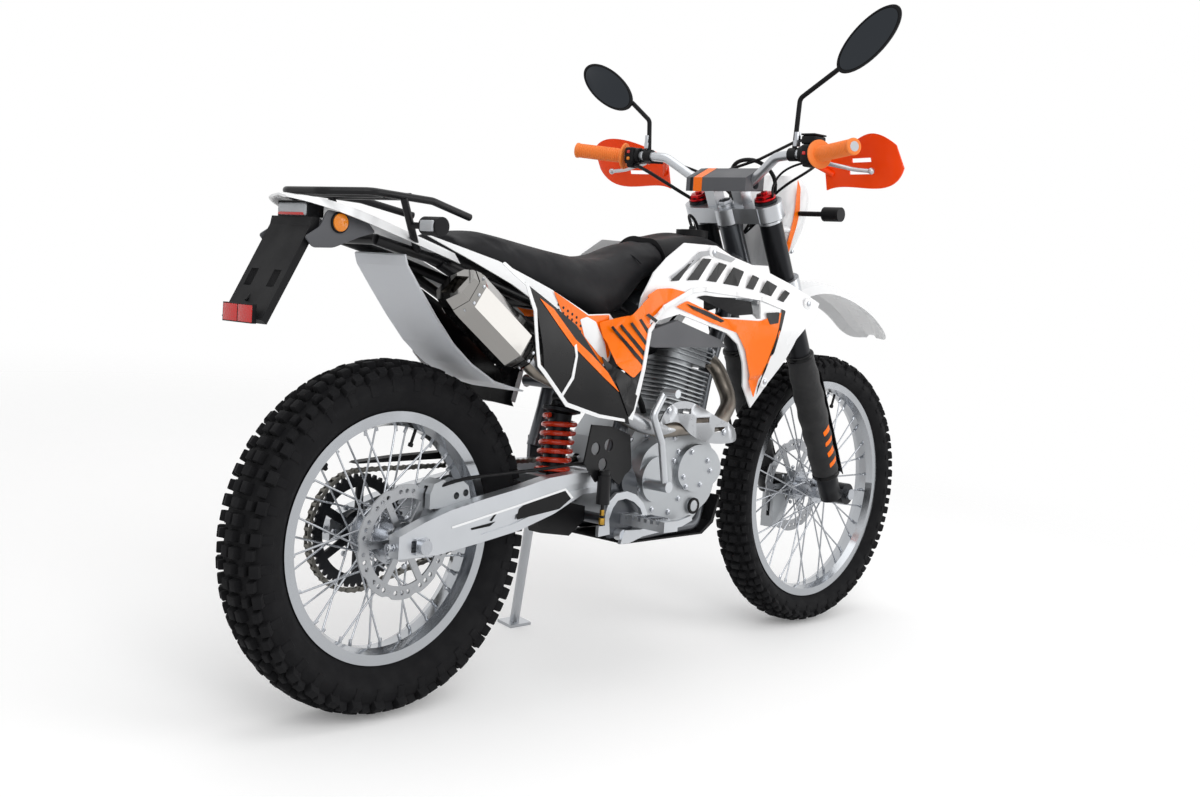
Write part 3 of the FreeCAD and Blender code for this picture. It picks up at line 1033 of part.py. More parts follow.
def plate_holder():
    bracket_shares = [(0.0, 0.04), (0.1, 0.0), (0.93, 0.86), (1.0, 0.92), (1.0, 1.0), (0.86, 1.0), (0.83, 0.92)]
    board = plate("bracket_board", outline("bracket", bracket_shares), "bracket_wide")
    slots = []
    for side in (-1, 1):
        slots.append(block("bracket_slot_%d" % (side + 1),
                           ("bracket_slot_deep", "bracket_slot_long", "bracket_slot_high"),
                           Vector(v("bracket_slot_x") - v("bracket_slot_gap"),
                                  side * v("bracket_slot_gap") - v("bracket_slot_long") / 2, v("bracket_slot_z"))))
    node("plate_bracket", [cut("bracket_done", board, slots)])
    bar = block("reflector", ("reflector_thick", "reflector_wide", "reflector_high"),
                Vector(v("bracket_x") - v("reflector_thick") - v("fit"), -v("reflector_half"), v("bracket_z")))
    lamp = block("tail_lamp", ("tail_lamp_long", "tail_lamp_wide", "tail_lamp_high"),
                 Vector(v("tail_lamp_x"), -v("tail_lamp_half"), v("tail_lamp_z")))
    parts = [bar, lamp]
    ways = rack_legs("signal", v("fit"))
    for side, way in zip((-1, 1), ways):
        lamp = signal("rear_signal_%d" % (side + 1), v("rear_signal_x"), v("rear_signal_z"),
                      v("rack_half"), v("signal_reach"), side)
        parts.append(cut("rear_signal_cut_%d" % (side + 1), lamp, [way]))
    node("rear_lamps", parts)


def signal(name, x, z, root, reach, side):
    stem = across(name + "_stem", "signal_stem", x, side * root, side * (reach - v("signal_long") / 2), z)
    head = across(name + "_head", "signal_radius", x, side * (reach - v("signal_long")), side * reach, z)
    return fuse(name, [stem, head])


def rear_caliper():
    y = v("rear_disc_y")
    caliper_shares = [(0.0, 0.0), (1.0, 0.0), (1.12, 0.3), (1.05, 0.75), (0.85, 1.0), (0.6, 0.86), (0.34, 1.05),
                      (0.1, 0.92), (0.0, 0.55)]
    whole = plate("rear_caliper_block", outline("caliper", caliper_shares), "caliper_wide", y)
    holes = []
    for number, (a_share, c_share) in enumerate(((0.98, 0.5), (0.72, 0.42))):
        holes.append(across("rear_caliper_eye_%d" % number, "caliper_eye",
                            v("caliper_x") + a_share * v("caliper_long"), y - v("caliper_wide"),
                            y + v("caliper_wide"), v("caliper_z") + c_share * v("caliper_high")))
    body = cut("rear_caliper_bored", whole, holes)
    radius = v("rear_disc_radius") + v("overrun")
    way = Part.makeCylinder(radius, v("caliper_slot"), Vector(0, y - v("caliper_slot") / 2, v("rear_radius")),
                            Vector(0, 1, 0))
    node("rear_caliper", [cut("rear_caliper_done", body, [free("rear_caliper_way", way)])])


def controls():
    pedal_shares = [(0.0, 0.0), (0.12, 0.0), (0.3, 0.25), (0.85, 0.5), (1.0, 0.75), (0.98, 1.0), (0.8, 0.8),
                    (0.25, 0.6), (0.05, 0.65)]
    pedal = plate("brake_pedal", outline("pedal", pedal_shares), "pedal_thick", v("pedal_y"))
    pivot = across("pedal_pivot", "peg_root", v("pedal_x") + v("peg_root"), v("pedal_y"), -v("peg_y"),
                   v("pedal_z") + v("pedal_high") * 0.4)
    arch_shares = [(-0.3, 0.5), (-0.3, 1.0), (-0.22, 1.0), (-0.225, 1.5), (-0.19, 2.1), (-0.09, 2.5),
                   (0.05, 2.55), (0.17, 2.35), (0.28, 1.9),
                   (0.35, 1.3), (0.36, 0.5), (0.3, 0.45), (0.3, 1.15), (0.24, 1.66), (0.15, 2.0), (0.04, 2.2),
                   (-0.07, 2.14), (-0.13, 1.8), (-0.17, 1.3), (-0.15, 0.55)]
    arch = plate("pedal_arch", outline("pedal", arch_shares), "pedal_thick", v("pedal_y"))
    parts = [fuse("pedal_fuse", [pedal, pivot, arch])]
    for side in (-1, 1):
        tag = "r" if side < 0 else "l"
        inner = side * v("peg_y")
        outer = side * (v("peg_y") + v("peg_long"))
        tread = block("peg_" + tag, ("peg_wide", "peg_long", "peg_high"),
                      Vector(v("peg_x") - v("peg_wide") / 2, min(inner, outer), v("peg_z") - v("peg_high") / 2))
        notches = []
        for number in range(6):
            y = inner + side * (number + 1) * v("peg_long") / 7 - v("peg_notch") / 2
            notches.append(block("peg_notch_%s%d" % (tag, number), ("peg_wide", "peg_notch", "peg_tooth"),
                                 Vector(v("peg_x") - v("peg_wide") / 2, y,
                                        v("peg_z") + v("peg_high") / 2 - v("peg_tooth"))))
        parts.append(cut("peg_cut_" + tag, tread, notches))
    shaft = across("shift_shaft", "shift_rod", v("shift_x"), v("cases_half") + v("fit"), v("stand_y"),
                   v("shift_shaft_z"))
    arm_y = v("stand_y") - v("shift_rod")
    lever = rod("shift_lever", "shift_bar", Vector(v("shift_x"), arm_y, v("shift_shaft_z")),
                Vector(v("peg_x") + v("shift_long"), arm_y, v("shift_z")))
    toe = across("shift_toe", "toe_radius", v("peg_x") + v("shift_long"), v("stand_y") - v("toe_radius"),
                 v("stand_y") + v("toe_long"), v("shift_z"))
    parts.append(fuse("shift_fuse", [shaft, lever, toe]))
    kick_shares = [(0.93, 0.0), (0.6, 0.47), (0.05, 0.76), (0.6, 1.0)]
    kick = tube("kick_lever", [Vector(v("kick_x") + a * v("kick_long"), v("kick_y"),
                                      v("kick_z") + c * v("kick_high")) for a, c in kick_shares],
                v("kick_rod"), 2.0)
    face = -(v("cases_half") + v("clutch_thick") + v("round_thick") + v("fit"))
    hub_end = across("kick_boss", "kick_boss", v("kick_x") + kick_shares[0][0] * v("kick_long"),
                     v("kick_y") - v("kick_boss"), face, v("kick_z"))
    tip = Vector(v("kick_x") + kick_shares[-1][0] * v("kick_long"), v("kick_y"), v("kick_z") + v("kick_high"))
    tread = rod("kick_foot", "toe_radius", tip, tip - Vector(0, v("kick_foot"), 0))
    parts.append(fuse("kick_fuse", [kick, hub_end, tread]))
    node("foot_controls", parts)


def brake_master():
    # the black plate behind the heel, with the rear brake's cylinder and push rod on it
    inner = -(v("frame_half") * 0.985 + v("side_tube") + v("fit"))
    y = inner - v("heel_thick") / 2
    heel_shares = [(0.03, 0.42), (0.14, 0.98), (0.54, 0.94), (0.93, 0.8), (1.0, 0.3), (0.76, 0.05), (0.55, 0.2),
                   (0.28, 0.12)]
    board = plate("heel_board", outline("heel", heel_shares), "heel_thick", y)
    holes = []
    for number, (a_share, c_share) in enumerate(((0.24, 0.62), (0.5, 0.66), (0.4, 0.38))):
        holes.append(across("heel_window_%d" % number, "heel_window", v("heel_x") + a_share * v("heel_long"),
                            inner + v("overrun"), y - v("heel_thick"), v("heel_z") + c_share * v("heel_high")))
    open_board = cut("heel_open", board, holes)
    line = y - v("heel_thick") / 2 - v("master_radius") * 0.8
    foot = Vector(v("master_x"), line, v("master_z"))
    up = Vector(0, 0, v("master_long"))
    barrel = rod("master_barrel", "master_radius", foot, foot + up)
    collar = rod("master_collar", "master_collar", foot + up, foot + up + Vector(0, 0, v("master_collar_high")))
    push = rod("master_push", "master_rod", foot,
               Vector(v("master_x"), line, v("pedal_z") + v("pedal_high") + v("fit")))
    way = across("heel_cap_way", "cap_way", v("pivot_x"), inner + v("overrun"), line - v("master_radius"),
                 v("pivot_z"))
    whole = fuse("master_fuse", [open_board, barrel, collar, push])
    node("brake_master", [cut("master_done", whole, [way])])


def side_stand():
    # leg from the pivot to a foot lying flat on the leaned floor
    lean = math.radians(v("lean_degrees"))
    root = Vector(v("stand_x"), v("stand_y"), v("stand_z"))
    floor = (v("stand_foot_y") - v("lug_half")) * math.tan(lean)
    up = Vector(0, -math.sin(lean), math.cos(lean))
    base = Vector(v("stand_foot_x"), v("stand_foot_y"), floor)
    foot = doc.addObject("Part::Box", "stand_foot")
    bind(foot, "Length", "foot_long")
    bind(foot, "Width", "foot_wide")
    bind(foot, "Height", "foot_thick")
    turn = Rotation(Vector(1, 0, 0), v("lean_degrees"))
    corner = turn.multVec(Vector(-v("foot_long") / 2, -v("foot_wide") / 2, 0))
    foot.Placement = Placement(base + corner, turn)
    leg = rod("stand_leg", "stand_rod", root, base + up * v("foot_thick") * 0.6)
    pin = stand_axis()
    boss = rod("stand_boss", "stand_boss", root - pin * v("stand_boss_half"), root + pin * v("stand_boss_half"))
    hole = rod("stand_hole", "stand_bore", root - pin * v("stand_rod") * 2, root + pin * v("stand_rod") * 2)
    whole = fuse("stand_fuse", [foot, leg, boss])
    node("side_stand", [cut("stand_done", whole, [hole])])


def clamp(name, top_word, low_word):
    top = v(top_word)
    low = v(low_word)
    end = v("clamp_end")
    x = v("fork_x")
    y = v("fork_y")
    web = Part.makeBox(end * 1.3, y * 2, top - low, Vector(-end * 0.35, -y, low))
    parts = [Part.makeCylinder(v("clamp_boss"), top - low, Vector(0, 0, low))]
    for side in (-1, 1):
        parts.append(Part.makeCylinder(end, top - low, Vector(x, side * y, low)))
    whole = web.multiFuse(parts)
    for side in (-1, 1):
        whole = whole.cut(Part.makeCylinder(v("fork_tube") + v("fit"), top - low + 2 * v("overrun"),
                                            Vector(x, side * y, low - v("overrun"))))
    return free(name, whole, STEER)


def clamps():
    parts = [clamp("upper_clamp", "clamp_top", "clamp_low"), clamp("lower_clamp", "lower_top", "lower_low")]
    parts.append(rod("stem", "stem_radius", Vector(0, 0, v("lower_low")), Vector(0, 0, v("clamp_top")), STEER))
    parts.append(rod("stem_nut", "stem_nut", Vector(0, 0, v("clamp_top")),
                     Vector(0, 0, v("clamp_top") + v("stem_nut_high")), STEER))
    for side in (-1, 1):
        parts.append(block("riser_%d" % (side + 1), ("riser_long", "riser_wide", "riser_high"),
                           Vector(v("riser_x") - v("riser_long") / 2,
                                  side * v("riser_y") - v("riser_wide") / 2, v("clamp_top") - v("overrun")),
                           STEER))
    whole = fuse("clamps_fuse", parts)
    way = across("riser_way", "bar_way", v("riser_x"), -v("pad_half"), v("pad_half"), v("riser_bar_z"), STEER)
    node("triple_clamps", [cut("clamps_done", whole, [way])])


def fork():
    uppers = []
    lowers = []
    guards = []
    for side in (-1, 1):
        tag = "r" if side < 0 else "l"
        y = side * v("fork_y")
        x = v("fork_x")
        main = rod("fork_tube_" + tag, "fork_tube", Vector(x, y, v("sock_top") + v("fit")),
                   Vector(x, y, v("fork_top")), STEER)
        nut = rod("fork_cap_" + tag, "cap_nut", Vector(x, y, v("fork_top")),
                  Vector(x, y, v("fork_top") + v("cap_nut_high")), STEER)
        uppers.append(fuse("fork_upper_" + tag, [main, nut]))
        long = v("sock_long")
        top = v("sock_top")
        wide = v("sock_radius")
        sock_shares = [(0.0, 0.0), (0.72, 0.0), (0.95, 0.1), (1.0, 0.25), (0.92, 0.5), (0.8, 0.7), (0.76, 0.85),
                       (0.74, 1.0)]
        profile = [(r * wide, top - a * long) for r, a in sock_shares]
        profile += [(v("leg_radius"), top - long), (v("leg_radius"), v("leg_end")), (0, v("leg_end"))]
        sock = free("sock_" + tag, spun(profile), STEER.multiply(Placement(Vector(x, y, 0), Rotation())))
        lug = rod("axle_lug_" + tag, "lug_radius",
                  Vector(v("axle_x"), y - v("lug_half_wide"), v("axle_z")),
                  Vector(v("axle_x"), y + v("lug_half_wide"), v("axle_z")), STEER)
        cast = [sock, lug]
        if side > 0:
            lug_shares = [(0.2, 0.2), (0.8, 0.05), (1.3, 0.6), (1.75, 0.95), (1.6, 1.5), (0.95, 1.5), (0.25, 0.95)]
            cast.append(plate("caliper_lug", outline("front_caliper", lug_shares), "caliper_plate_thick",
                              v("fork_y") - v("leg_radius") + v("caliper_plate_thick") / 2))
        lowers.append(fuse("fork_lower_" + tag, cast))
        inner = v("fork_guard_inner")
        wall = Part.makeCylinder(inner + v("fork_guard_thick"), v("fork_guard_long"), Vector(), Vector(0, 0, 1),
                                 v("guard_arc_degrees"))
        gap = Part.makeCylinder(inner, v("fork_guard_long") + 2 * v("overrun"),
                                Vector(0, 0, -v("overrun")), Vector(0, 0, 1), 360)
        strip = wall.cut(gap)
        place = Placement(Vector(x, y, v("fork_guard_top") - v("fork_guard_long")),
                          Rotation(Vector(0, 0, 1), -v("guard_inner_degrees") if side > 0
                                   else v("guard_inner_degrees") - v("guard_arc_degrees")))
        guards.append(free("fork_guard_" + tag, strip, STEER.multiply(place)))
    node("fork_tubes", uppers)
    bore = across("axle_bore", "axle_way", v("axle_x"), -v("front_axle_half"), v("front_axle_half"),
                  v("axle_z"), STEER)
    both = fuse("fork_lowers_both", lowers)
    node("fork_lowers", [cut("fork_lowers_done", both, [bore])])
    node("fork_guards", guards)


def front_axle():
    half = v("front_axle_half")
    parts = [across("front_axle_bar", "front_axle_radius", v("wheelbase"), -half, half, v("front_radius"))]
    for side in (-1, 1):
        inner = side * (v("front_hub_half") + v("slide"))
        outer = side * (v("fork_y") - v("lug_half_wide") - v("fit"))
        parts.append(across("front_spacer_%d" % (side + 1), "axle_head", v("wheelbase"), inner, outer,
                            v("front_radius")))
        face = side * (v("fork_y") + v("lug_half_wide") + v("fit"))
        parts.append(across("front_nut_%d" % (side + 1), "axle_head", v("wheelbase"), face,
                            face + side * v("axle_head_long"), v("front_radius")))
    node("front_axle", [fuse("front_axle_fuse", parts)])


bar_shares = [(1.0, 0.0, 0.0), (1.0, 0.17, 0.0), (0.67, 0.4, 0.8), (0.6, 0.55, 0.87), (0.55, 0.7, 0.85),
              (0.02, 1.0, 1.0)]


def bar_point(y_share):
    # the point of the bar's centre line at a share of the half width
    for first, last in zip(bar_shares, bar_shares[1:]):
        if first[1] <= y_share <= last[1]:
            a, b = route("bar", (first, last))
            return a + (b - a) * ((y_share - first[1]) / (last[1] - first[1]))


def bar_way(name):
    return tube(name, route("bar", bar_shares), v("bar_radius"), 4.0, UPRIGHT, v("fit"))


def bars():
    right = tube("bar_left_half", route("bar", bar_shares), v("bar_radius"), 4.0)
    bar = fuse("bar_fuse", [right, mirror(right)])
    node("handlebar", [bar])
    pad_shares = [(0.0, 0.0), (1.0, 0.1), (1.0, 1.0), (0.75, 1.0), (0.0, 0.55)]
    cushion = plate("pad_block", outline("pad", pad_shares), "pad_wide")
    way = across("pad_way", "bar_way", v("riser_x"), -v("pad_half") * 1.2, v("pad_half") * 1.2,
                 v("riser_bar_z"), STEER)
    wide = bar_way("pad_bar_way")
    tools = [way, wide, mirror(wide)]
    for side in (-1, 1):
        tools.append(block("pad_riser_%d" % (side + 1), ("pad_riser_long", "pad_riser_wide", "pad_riser_high"),
                           Vector(v("riser_x") - v("pad_riser_long") / 2,
                                  side * v("riser_y") - v("pad_riser_wide") / 2, v("clamp_top")), STEER))
    node("bar_pad", [cut("pad_done", cushion, tools)])
    inner = bar_point(0.7)
    outer = bar_point(1.0)
    along = (outer - inner).normalize()
    grip = rod("grip_tube", "grip_radius", inner, outer)
    flange = rod("grip_flange", "grip_flange", inner, inner + along * v("grip_flange_thick"))
    handle = cut("grip_done", fuse("grip_fuse", [grip, flange]), [bar_way("grip_bore")])
    node("grips", [handle, mirror(handle)])
    hand_guards()
    switches(inner, along)
    mirrors()


def hand_guards():
    top_shares = [(0.7, 0.52, 0.62), (0.48, 0.73, 0.94), (0.0, 0.89, 1.0), (0.1, 0.99, 0.8)]
    low_shares = [(1.0, 0.52, 0.0), (0.96, 0.75, 0.04), (0.78, 0.93, 0.12), (0.57, 1.0, 0.4)]

    def edge(shares):
        curve = Part.BSplineCurve()
        curve.interpolate(route("hand", shares))
        return Part.Wire(curve.toShape())

    face = Part.makeLoft([edge(low_shares), edge(top_shares)], False, True).Faces[0]
    shell = free("hand_shell", face.extrude(Vector(-v("hand_thick"), 0, 0)))
    slots = []
    for number in range(2):
        slots.append(block("hand_slot_%d" % number, ("hand_span", "hand_slot_long", "hand_slot_high"),
                           Vector(v("hand_x") - v("overrun"), v("hand_half") * (0.66 + 0.02 * number),
                                  v("hand_z") + v("hand_high") * (0.3 + 0.22 * number))))
    open_shell = cut("hand_open", shell, slots)
    root = bar_point(0.45)
    stay = tube("hand_stay", [root, root + Vector(v("hand_long") * 0.7, v("hand_long") * 0.3, 0),
                              Vector(v("hand_x") + v("hand_long") * 0.86, v("hand_half") * 0.56,
                                     v("hand_z") + v("hand_high") * 0.3)], v("stay_radius"), 2.0)
    guard = cut("hand_done", fuse("hand_fuse", [open_shell, stay]), [bar_way("hand_bar_way")])
    node("hand_guards", [guard, mirror(guard)])


def switches(inner, along):
    start = bar_point(v("switch_start") / v("bar_half"))
    end = inner - (inner - start).normalize() * v("switch_radius") * 0.5
    body = rod("switch_body", "switch_radius", start, end)
    perch = rod("lever_perch", "switch_radius", start + Vector(v("lever_rod"), 0, 0),
                start + along * v("grip_radius") + Vector(v("lever_rod"), 0, 0))
    tip = Vector(v("lever_x") + v("lever_long"), v("lever_reach"), v("lever_z"))
    lever = tube("hand_lever", [start + Vector(v("switch_radius"), 0, 0),
                                start + Vector(v("lever_long"), v("switch_radius"), -v("lever_rod") * 3), tip],
                 v("lever_rod"), 3.0)
    ball = doc.addObject("Part::Sphere", "lever_ball")
    bind(ball, "Radius", "lever_ball")
    ball.Placement = Placement(tip, Rotation())
    left = cut("switch_done", join("switch_join", [body, perch, lever, ball]), [bar_way("switch_bore")])
    tank_block = block("fluid_tank", ("reservoir_long", "reservoir_wide", "reservoir_high"),
                       Vector(start.x - v("switch_radius") / 2, -start.y - v("reservoir_wide"),
                              start.z + v("switch_radius") + v("fit")))
    node("switchgear", [left, mirror(left), tank_block])


def mirror_piece(part, side):
    # bar clamp, bent stem and an oval shell that rises outward, flat towards the rider
    at = Vector(v("mirror_x"), v(part + "_y"), v(part + "_z"))
    rise = math.radians(v(part + "_degrees"))
    out = Vector(0, side * math.cos(rise), math.sin(rise))
    centre = bar_point(0.525)
    centre.y *= side
    rest = at - out * v("mirror_head_long") * 0.55 + Vector(v("mirror_head_deep") * 0.4, 0, 0)
    high = rest.z - centre.z
    stem = tube(part + "_stem", [centre, centre + Vector(0, side * v("mirror_clamp") * 0.4, high * 0.6),
                                 rest - Vector(0, side * v("mirror_head_high") * 0.8, high * 0.1), rest],
                v("mirror_stem"), 3.0)
    half = Vector(0, v("mirror_clamp_long") / 2, 0)
    base = rod(part + "_clamp", "mirror_clamp", centre - half, centre + half)
    head = doc.addObject("Part::Ellipsoid", part + "_head")
    bind(head, "Radius1", "mirror_head_deep")
    bind(head, "Radius2", "mirror_head_long")
    bind(head, "Radius3", "mirror_head_high")
    head.Placement = Placement(at, Rotation(out, Vector(1, 0, 0).cross(out), Vector(1, 0, 0), "XYZ"))
    flat = block(part + "_flat", ("mirror_span", "mirror_span", "mirror_span"),
                 at - Vector(v("mirror_span"), v("mirror_span") / 2, v("mirror_span") / 2))
    shell = cut(part + "_shell", head, [flat])
    way = bar_way(part + "_way") if side > 0 else mirror(bar_way(part + "_way"))
    return cut(part + "_done", fuse(part + "_fuse", [stem, base, shell]), [way])


def mirrors():
    node("mirrors", [mirror_piece("mirror_left", 1), mirror_piece("mirror_right", -1)])


def mask():
    # stations of (level, back, front, half width) as shares of the mask's box
    mask_shares = [(0.0, 0.2, 0.42, 0.5), (0.27, 0.02, 0.72, 0.9), (0.58, 0.06, 0.95, 1.0),
                   (0.8, 0.3, 0.98, 0.95), (1.0, 0.56, 0.82, 0.6)]
    rings = []
    for level, back, front, half_share in mask_shares:
        z = v("mask_z") + level * v("mask_high")
        x1 = v("mask_x") + back * v("mask_long")
        x2 = v("mask_x") + front * v("mask_long")
        w = half_share * v("mask_half")
        mid = (x1 + x2) / 2
        rings.append(closed_curve([Vector(x, y, z) for x, y in (
            (x1, 0), (x1, w * 0.75), (mid, w), (x2, w * 0.7), (x2 + (x2 - x1) * 0.08, 0), (x2, -w * 0.7),
            (mid, -w), (x1, -w * 0.75))]))
    shell = free("mask_shell", Part.makeLoft(rings, True, False))
    pocket = rod("lens_pocket", "lens_way", Vector(v("lens_x") - v("fit"), 0, v("lens_z")),
                 Vector(v("lens_x") + v("lens_long") * 2, 0, v("lens_z")))
    stays = []
    for side in (-1, 1):
        a = Vector(v("mask_x") + v("mask_long") * 0.3, side * v("mask_half") * 0.85,
                   v("mask_z") + v("mask_high") * 0.4)
        stays.append(rod("mask_stay_%d" % (side + 1), "mask_stay", a,
                         Vector(v("mask_root_x"), a.y, v("mask_root_z"))))
    node("headlamp_mask", [cut("mask_done", fuse("mask_fuse", [shell] + stays), [pocket])])
    lens = rod("headlamp_lens", "lens_radius", Vector(v("lens_x"), 0, v("lens_z")),
               Vector(v("lens_x") + v("lens_long"), 0, v("lens_z")))
    parts = [lens]
    for side in (-1, 1):
        parts.append(signal("front_signal_%d" % (side + 1), v("front_signal_x"), v("front_signal_z"),
                            v("front_signal_root"), v("front_signal_reach"), side))
    node("front_lamps", parts)


def front_fender():
    shares = [(0.0, 0.42, 0.72), (0.14, 0.62, 0.76), (0.38, 0.95, 0.86), (0.5, 0.98, 0.95), (0.66, 0.84, 1.0),
              (0.85, 0.5, 0.95), (0.97, 0.14, 0.7), (1.0, 0.06, 0.35)]
    rings = []
    wall = v("skin")
    for a, c, b in shares:
        x = v("guard_front_x") + a * v("guard_front_long")
        z = v("guard_front_z") + c * v("guard_front_high")
        half = b * v("guard_front_half")
        drop = wall * 8 * b
        pts = [(-half, z - drop), (-half * 0.72, z - wall * 2), (-half * 0.3, z), (half * 0.3, z),
               (half * 0.72, z - wall * 2), (half, z - drop), (half - wall, z - drop),
               (half * 0.72 - wall, z - wall * 3), (half * 0.3, z - wall), (-half * 0.3, z - wall),
               (-half * 0.72 + wall, z - wall * 3), (-half + wall, z - drop)]
        rings.append(Part.makePolygon([Vector(x, y, w) for y, w in pts + pts[:1]]))
    shell = free("front_fender_shell", Part.makeLoft(rings, True, False))
    seat_block = block("fender_seat", ("fender_seat_long", "fender_seat_wide", "fender_seat_high"),
                       Vector(v("fender_seat_x"), -v("fender_seat_wide") / 2,
                              v("lower_low") - v("fit") - v("fender_seat_high")), STEER)
    node("front_fender", [fuse("front_fender_fuse", [shell, seat_block])])


def brake_hose():
    # from the cylinder on the right bar, over the lamp and down the left leg to the caliper
    hose_shares = [(0.14, -0.85, 1.04), (0.28, -0.2, 1.0), (0.33, 0.62, 0.95), (0.29, 0.69, 0.84),
                   (0.415, 0.69, 0.64), (0.6, 0.72, 0.44), (0.86, 0.74, 0.19), (0.9, 0.48, 0.075)]
    grip_end = bar_point(v("switch_start") / v("bar_half"))
    begin = Vector(grip_end.x + v("switch_radius"), v("fit") - grip_end.y,
                   grip_end.z + v("switch_radius") + v("reservoir_high") / 2)
    end = Vector(v("front_caliper_x") + v("front_caliper_long") * 0.4, v("hose_half") * 0.29,
                 v("front_caliper_z") + v("front_caliper_high") + v("fit"))
    above = Vector(end.x, end.y, end.z + v("hose_radius") * 9)
    inward = begin + Vector(0, v("hose_radius") * 6, 0)
    node("brake_hose", [tube("hose_line", [begin, inward] + route("hose", hose_shares) + [above, end],
                               v("hose_radius"), 9.0)])


def front_caliper():
    y = v("front_disc_y")
    corner = Vector(v("front_caliper_x"), v("fork_y") - v("leg_radius") - v("fit") - v("front_caliper_wide"),
                    v("front_caliper_z"))
    body = block("front_caliper_block",
                 ("front_caliper_long", "front_caliper_wide", "front_caliper_high"), corner)
    way = Part.makeCylinder(v("front_disc_radius") + v("overrun"), v("caliper_slot"),
                            Vector(v("wheelbase"), y - v("caliper_slot") / 2, v("front_radius")),
                            Vector(0, 1, 0))
    node("front_caliper", [cut("front_caliper_done", body, [free("front_caliper_way", way)])])


# fits, widths and places that follow from the sizes above
LINKED = {
    "rear_hub_clear": "=rear_hub_radius + fit", "front_hub_clear": "=front_hub_radius + fit",
    "brace_wide": "=2 * arm_inner + 2 * overrun", "case_wide": "=2 * cases_half", "bolt_way": "=pivot_bolt + fit",
    "output_radius": "=chain_small_radius - chain_half_high - fit",
    "airbox_wide": "=2 * airbox_half", "carb_port_x": "=crank_x - barrel_radius * 0.1",
    "carb_port_z": "=crank_z + barrel_top * 1.145", "skid_wide": "=2 * skid_half",
    "rack_plate_wide": "=2 * rack_plate_half", "rail_way": "=sub_tube + fit",
    "bracket_slot_deep": "=2 * bracket_slot_gap", "bracket_wide": "=2 * bracket_half",
    "reflector_wide": "=2 * reflector_half", "tail_lamp_wide": "=2 * tail_lamp_half",
    "stand_bore": "=stand_pin + slide", "stand_clear": "=stand_boss * 1.6",
    "riser_high": "=riser_top - clamp_top + overrun",
    "bar_way": "=bar_radius + fit", "pocket_wide": "=2 * pocket_deep",
    "axle_way": "=front_axle_radius + fit", "cap_way": "=cap_radius + fit", "pad_wide": "=2 * pad_half",
    "pad_riser_long": "=riser_long + 2 * fit", "pad_riser_wide": "=riser_wide + 2 * fit",
    "pad_riser_high": "=riser_top - clamp_top + fit", "hand_span": "=hand_long + 2 * overrun",
    "mirror_span": "=2.4 * mirror_head_long", "lens_way": "=lens_radius + fit",
    "mask_root_x": "=head_x + mask_root_back", "mask_root_z": "=head_z - mask_root_drop",
}
for row, (word, rule) in enumerate(LINKED.items(), start=len(SIZES) + 2):
    sheet.set("A%d" % row, word)
    sheet.set("B%d" % row, rule)
    sheet.setAlias("B%d" % row, word)
doc.recompute()


def build():
    wheels()
    arm = swingarm()
    adjusters()
    shock()
    chain(arm)
    frame()
    subframe()
    skid_plate()
    engine()
    intake()
    exhaust()
    tank()
    seat()
    panels()
    rear_end()
    rear_caliper()
    controls()
    brake_master()
    side_stand()
    clamps()
    fork()
    front_axle()
    bars()
    mask()
    front_fender()
    front_caliper()
    brake_hose()


def write():
    os.makedirs("parts", exist_ok=True)
    doc.recompute()
    faults = []
    for thing in doc.Objects:
        if "Invalid" in thing.State or "Error" in thing.State:
            faults.append("%s is in state %s" % (thing.Name, thing.State))
        elif hasattr(thing, "Shape") and thing.TypeId != "Sketcher::SketchObject":
            if thing.Shape.isNull() or not thing.Shape.isValid():
                faults.append("%s has no valid shape" % thing.Name)
    if faults:
        raise RuntimeError("; ".join(faults))
    for made in NODES:
        if not made.Shape.Solids:
            raise RuntimeError("%s holds no solid" % made.Name)
        made.Shape.exportStep("parts/%s.step" % made.Label)


build()
write()
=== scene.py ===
import json
import math
import bmesh
import bpy
from bpy.props import FloatProperty, FloatVectorProperty, IntProperty, PointerProperty
from mathutils import Matrix, Vector
from mathutils.bvhtree import BVHTree


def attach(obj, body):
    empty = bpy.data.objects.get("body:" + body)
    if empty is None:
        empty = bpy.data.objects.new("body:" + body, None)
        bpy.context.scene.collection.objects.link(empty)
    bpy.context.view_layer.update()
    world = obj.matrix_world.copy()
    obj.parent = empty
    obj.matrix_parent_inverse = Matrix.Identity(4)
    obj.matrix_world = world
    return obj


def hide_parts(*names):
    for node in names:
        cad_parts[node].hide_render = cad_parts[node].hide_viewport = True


bl_info = {
    "name": "Enduro Motorcycle",
    "version": (1, 0, 0),
    "blender": (4, 5, 0),
    "location": "3D View > Sidebar > Enduro",
    "description": "Dresses the packed frame of an enduro motorcycle with its tread, chain, seat, graphics and lamps",
    "category": "Object",
}

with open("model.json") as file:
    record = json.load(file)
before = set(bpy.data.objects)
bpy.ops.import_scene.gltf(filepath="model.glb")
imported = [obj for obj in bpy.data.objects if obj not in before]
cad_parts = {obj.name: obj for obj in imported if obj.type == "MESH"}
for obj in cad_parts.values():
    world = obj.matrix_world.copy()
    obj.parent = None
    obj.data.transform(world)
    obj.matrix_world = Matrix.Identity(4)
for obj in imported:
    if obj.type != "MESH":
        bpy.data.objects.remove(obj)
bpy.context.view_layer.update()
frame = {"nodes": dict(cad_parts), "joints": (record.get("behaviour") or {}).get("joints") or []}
MM = 0.001
EDGE_DEGREES = 32.0
MERGE_MM = 0.01
# Rays at a side of the bike: how far out they start, how far they go, and the depth of a miss, in mm
RAY_FROM, RAY_LONG, NOWHERE = 600.0, 560.0, -900.0
JOINTS = {joint["name"]: joint for joint in frame["joints"]}
MADE = {}
SURFACES = {}


# Colours and finishes

SPECULAR = "Specular IOR Level"
COAT = "Coat Weight"
COAT_ROUGH = "Coat Roughness"
PATCH_LOW, PATCH_HIGH = 0.35, 0.65


